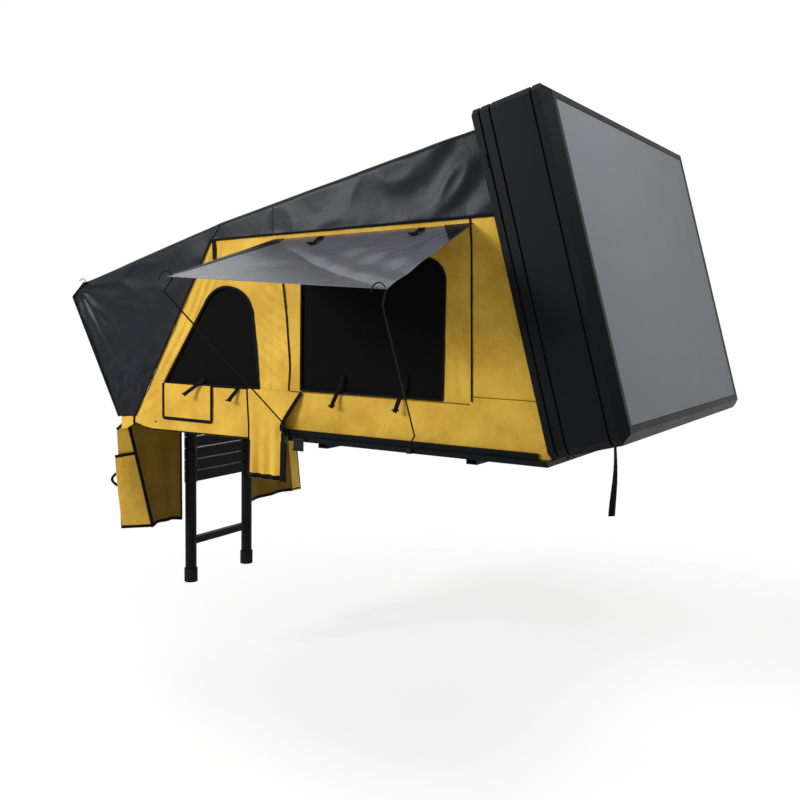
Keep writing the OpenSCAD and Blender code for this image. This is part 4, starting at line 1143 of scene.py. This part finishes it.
def pad(x0, x1, half, z0, z1, r, crown):
    """Mattress: a profile of its rounded edge carried round a superellipse of power 14; the faces close on
    the middle, the top with a slight crown."""
    middle, reach = np.array([(x0 + x1) / 2, 0.0]), np.array([(x1 - x0) / 2, half])
    rim = rim_points(220)
    rim = rim * (np.abs(rim) ** 14.0).sum(axis=1, keepdims=True) ** (-1.0 / 14.0)
    turn = np.linspace(-np.pi / 2, np.pi / 2, 12)
    edge_z = (z0 + z1) / 2 + ((z1 - z0) / 2 - r) * np.sign(turn) + r * np.sin(turn)
    inward = np.linspace(0.93, 0.01, 14)
    share = np.concatenate([inward[::-1], np.ones(12), inward])
    inset = np.concatenate([np.full(14, r), r * (1.0 - np.cos(turn)), np.full(14, r)])
    height = np.concatenate([np.full(14, z0), edge_z, z1 + crown * (1.0 - inward ** 6)])
    plan = middle + rim[None] * (reach - inset[:, None])[:, None] * share[:, None, None]
    z = np.broadcast_to(height[:, None], plan.shape[:2])
    return np.concatenate([plan, z[..., None]], axis=-1).transpose(1, 0, 2)


class TENT_OT_mattresses(bpy.types.Operator):
    """Foam mattresses of the base and of the fold-out floor, with piped edges"""
    bl_idname = "tent.mattresses"
    bl_label = "Mattresses"

    def execute(self, context):
        # Row of the pad's profile that the piping follows
        piped = 22
        for node, body in (("base_mattress", "base"), ("floor_mattress", "floor")):
            low, high = node_box(node)
            grid = pad(low[0] + 1.0, high[0] - 1.0, high[1] - 1.0, low[2] + 0.5, high[2] - 3.0, 14.0, 3.0)
            piece = make_piece(f"padded_{node}", [patch(grid, closed_u=True)], "mattress", closed=True)
            hold(piece, body, [node])
            trim(f"welt_{node}", [cord(ring(grid[:, piped] + 0.5 * UP), 4.0, UP)], body)
        return {"FINISHED"}


class TENT_OT_rod_hooks(bpy.types.Operator):
    """Wire crooks and eyelets that hold the awning's corners on its rods, and a wire at the hood's tip"""
    bl_idname = "tent.rod_hooks"
    bl_label = "Rod hooks"

    def execute(self, context):
        turn = np.linspace(0.0, 2.0 * np.pi, 24)
        loop = np.column_stack([9.0 * np.cos(turn), 9.0 * np.sin(turn), 8.0 + 0.0 * turn])
        # A crook in its own plane: way along the view's left, and height
        crook = curve([[0, -6], [0, 0], [2, 14], [13, 26], [28, 29], [42, 20], [50, 6], [52, -8]], 60)
        wire = ("steel", "black_steel")
        for u, inset, name in ((0.0, 12.0, "left"), (1.0, -12.0, "right")):
            x, y, z = (float(c) for c in awning_point(np.array(u), np.array(1.0)))
            tip = np.array([x + inset, y + 14.0, z - 6.5])
            trim(f"eyelet_awning_{name}", [cord(tip + loop, 3.0, UP)], "awning", "awning", "zinc",
                 "bright_steel")
            path = tip + crook[:, :1] * LEFT_WAY + crook[:, 1:] * UP
            trim(f"hook_awning_{name}", [cord(path, 5.0, (0.61, -0.79, 0.0))], "base", None, *wire)
        tip = np.array([HOOD_TIP[0] + 5.0, -FLY_OUT + 6.0, HOOD_TIP[1] - 2.0])
        crook = curve([[-4, -4], [6, 8], [19, 15], [34, 12], [48, 3]], 40)
        path = tip + crook[:, :1] * [-1.0, 0.0, 0.0] + crook[:, 1:] * UP
        trim("hook_hood", [cord(path, 4.0)], "floor", "floor", *wire)
        return {"FINISHED"}


class TENT_OT_solid_finishes(bpy.types.Operator):
    """Finishes of the frame, lid, fittings and ladder, which keep their solids"""
    bl_idname = "tent.solid_finishes"
    bl_label = "Frame finishes"

    def execute(self, context):
        groups = {
            "shell": ["tray", "lid_frame", "fold_floor", "rail_entrance", "rail_hinge_end", "ladder_top",
                      "ladder_section_2", "ladder_section_3", "ladder_section_4", "ladder_bottom"],
            "panel": ["lid_skin"],
            "aluminium": ["roof_bow"],
            "plywood": ["floor_board"],
            "rubber": ["lid_seal", "ladder_feet"],
            "plastic": ["rod_sockets", "latch_near", "latch_far"],
            "zinc": ["lid_hinge_pins", "fold_pins", "bow_pins", "ladder_pin", "strut_rod_near",
                     "strut_rod_far"],
            "steel": ["lid_hinge_leaves", "fold_brackets", "strut_anchors", "latch_plates", "awning_rod_left",
                      "awning_rod_right", "lid_leaves", "lid_strut_anchors", "strut_tube_near",
                      "strut_tube_far", "fold_arms", "bow_brackets", "ladder_bracket", "latch_keepers"],
        }
        for name, nodes in groups.items():
            for node in nodes:
                slots = NODES[node].data.materials
                slots.clear()
                slots.append(finish(name))
        return {"FINISHED"}


# Stage

def frame_at(place, ahead, up):
    """Matrix of a camera or lamp that looks along ahead, with up as its upward side."""
    ahead = np.asarray(ahead, dtype=float) / np.linalg.norm(ahead)
    right = np.cross(ahead, up)
    right /= np.linalg.norm(right)
    rows = np.column_stack([right, np.cross(right, ahead), -ahead, np.asarray(place, dtype=float)])
    return Matrix(np.vstack([rows, [0.0, 0.0, 0.0, 1.0]]).tolist())


def white_seen(tree):
    """1 for rays that come from the camera, straight or by way of a glossy or clear surface."""
    path = add_node(tree, "ShaderNodeLightPath").outputs
    seen = path["Is Camera Ray"]
    for kind in ("Is Glossy Ray", "Is Transmission Ray"):
        seen = add_node(tree, "ShaderNodeMath", {"operation": "MAXIMUM"}, {0: seen, 1: path[kind]}).outputs[0]
    return seen


WHITE = (1.0, 1.0, 1.0, 1.0)
# Studio floor: height, half width in millimetres, and the distances in metres over which it fades out
STAGE_Z, STAGE_HALF, STAGE_FADE = -1420.0, 7000.0, (2.4, 4.6)
# Lamps: name, place, aim, width in metres and power in watts
LAMPS = (("key", (-3.5, -5.1, 2.3), (-0.6, -0.9, 0.4), 1.7, 275.0),
         ("lid_fill", (2.0, -0.7, 2.6), (0.9, -0.1, 0.9), 1.2, 45.0),
         ("back", (-2.0, 4.5, 3.6), (-0.4, 0.0, 0.6), 2.6, 60.0))
# Camera fitted to the photograph: place in metres, way it looks, its upward side, and lens in millimetres
CAMERA_PLACE, CAMERA_AHEAD = (2.1961, -4.5717, 0.6521), (-0.5115, 0.854, -0.0953)
CAMERA_UP, CAMERA_LENS = (-0.0637, 0.0729, 0.9953), 44.04


class TENT_OT_stage(bpy.types.Operator):
    """Pale floor, soft studio light and the camera at the photograph's angle"""
    bl_idname = "tent.stage"
    bl_label = "Stage"

    def execute(self, context):
        scene = context.scene
        # Matte white floor that keeps the tent's shadow and fades out with distance from it
        look = Look("studio_floor_white", {"Base Color": (*linear("#bcbcbc"), 1.0), "Roughness": 0.9,
                                           "Emission Color": WHITE, "Emission Strength": 0.55})
        far = look.node("ShaderNodeVectorMath", {"operation": "LENGTH"}, {0: look.place})
        fade = look.node("ShaderNodeMapRange", {
            "From Min": STAGE_FADE[0], "From Max": STAGE_FADE[1], "To Min": 1.0, "To Max": 0.0,
            "interpolation_type": "SMOOTHSTEP"}, {"Value": far.outputs["Value"]})
        look.feed("Alpha", fade.outputs["Result"])
        FINISHES["floor"] = look.material
        x, y = ((2.0 * share - 1.0) * STAGE_HALF for share in unit_grid(3, 3))
        ground = np.stack([x, y, np.full_like(x, STAGE_Z)], axis=-1)
        make_piece("studio_floor", [patch(ground)], "floor")
        # White backdrop that lights the tent less than it shows
        world = scene.world or bpy.data.worlds.new("studio")
        scene.world = world
        world.use_nodes = True
        tree = world.node_tree
        tree.nodes.clear()
        dim, white = (add_node(tree, "ShaderNodeBackground", {"Color": WHITE, "Strength": power}).outputs[0]
                      for power in (0.45, 1.0))
        mixed = add_node(tree, "ShaderNodeMixShader", links={0: white_seen(tree), 1: dim, 2: white})
        add_node(tree, "ShaderNodeOutputWorld", links={"Surface": mixed.outputs[0]})
        for name, spot, aim, width, power in LAMPS:
            light = bpy.data.lights.new(name, "AREA")
            light.energy, light.size = power, width
            lamp = bpy.data.objects.new(name, light)
            lamp.matrix_world = frame_at(spot, np.subtract(aim, spot), UP)
            scene.collection.objects.link(lamp)
        data = bpy.data.cameras.new("photo_camera")
        data.lens, data.sensor_width, data.clip_end = CAMERA_LENS, 36.0, 60.0
        camera = bpy.data.objects.new("photo_camera", data)
        camera.matrix_world = frame_at(CAMERA_PLACE, CAMERA_AHEAD, CAMERA_UP)
        scene.collection.objects.link(camera)
        scene.camera = camera
        scene.view_settings.view_transform = "Standard"
        return {"FINISHED"}


STEPS = (TENT_OT_walls, TENT_OT_nets, TENT_OT_roof_fly, TENT_OT_hood, TENT_OT_door_wall, TENT_OT_hinge_flaps,
         TENT_OT_skirts, TENT_OT_valance, TENT_OT_side_pocket, TENT_OT_awning, TENT_OT_pull_strap,
         TENT_OT_wall_trim, TENT_OT_toggles, TENT_OT_mattresses, TENT_OT_rod_hooks, TENT_OT_solid_finishes,
         TENT_OT_stage)


class TENT_PT_panel(bpy.types.Panel):
    """Lists the tent's sizes, colours and pieces in the 3D view's sidebar"""
    bl_idname = "TENT_PT_panel"
    bl_label = "Roof tent"
    bl_space_type = "VIEW_3D"
    bl_region_type = "UI"
    bl_category = "Roof tent"

    def draw(self, context):
        column = self.layout.column()
        for group in (context.scene.tent_sizes, context.scene.tent_colours):
            for name in group.__annotations__:
                column.prop(group, name)
        for step in STEPS:
            column.operator(step.bl_idname)


CLASSES = (TentColours, TentSizes, *STEPS, TENT_PT_panel)


def register():
    for item in CLASSES:
        bpy.utils.register_class(item)
    bpy.types.Scene.tent_colours = bpy.props.PointerProperty(type=TentColours)
    bpy.types.Scene.tent_sizes = bpy.props.PointerProperty(type=TentSizes)


def unregister():
    del bpy.types.Scene.tent_sizes
    del bpy.types.Scene.tent_colours
    for item in reversed(CLASSES):
        bpy.utils.unregister_class(item)


def main():
    """Makes every piece in order."""
    register()
    for step in STEPS:
        group, name = step.bl_idname.split(".")
        getattr(getattr(bpy.ops, group), name)()


if __name__ == "__main__":
    main()
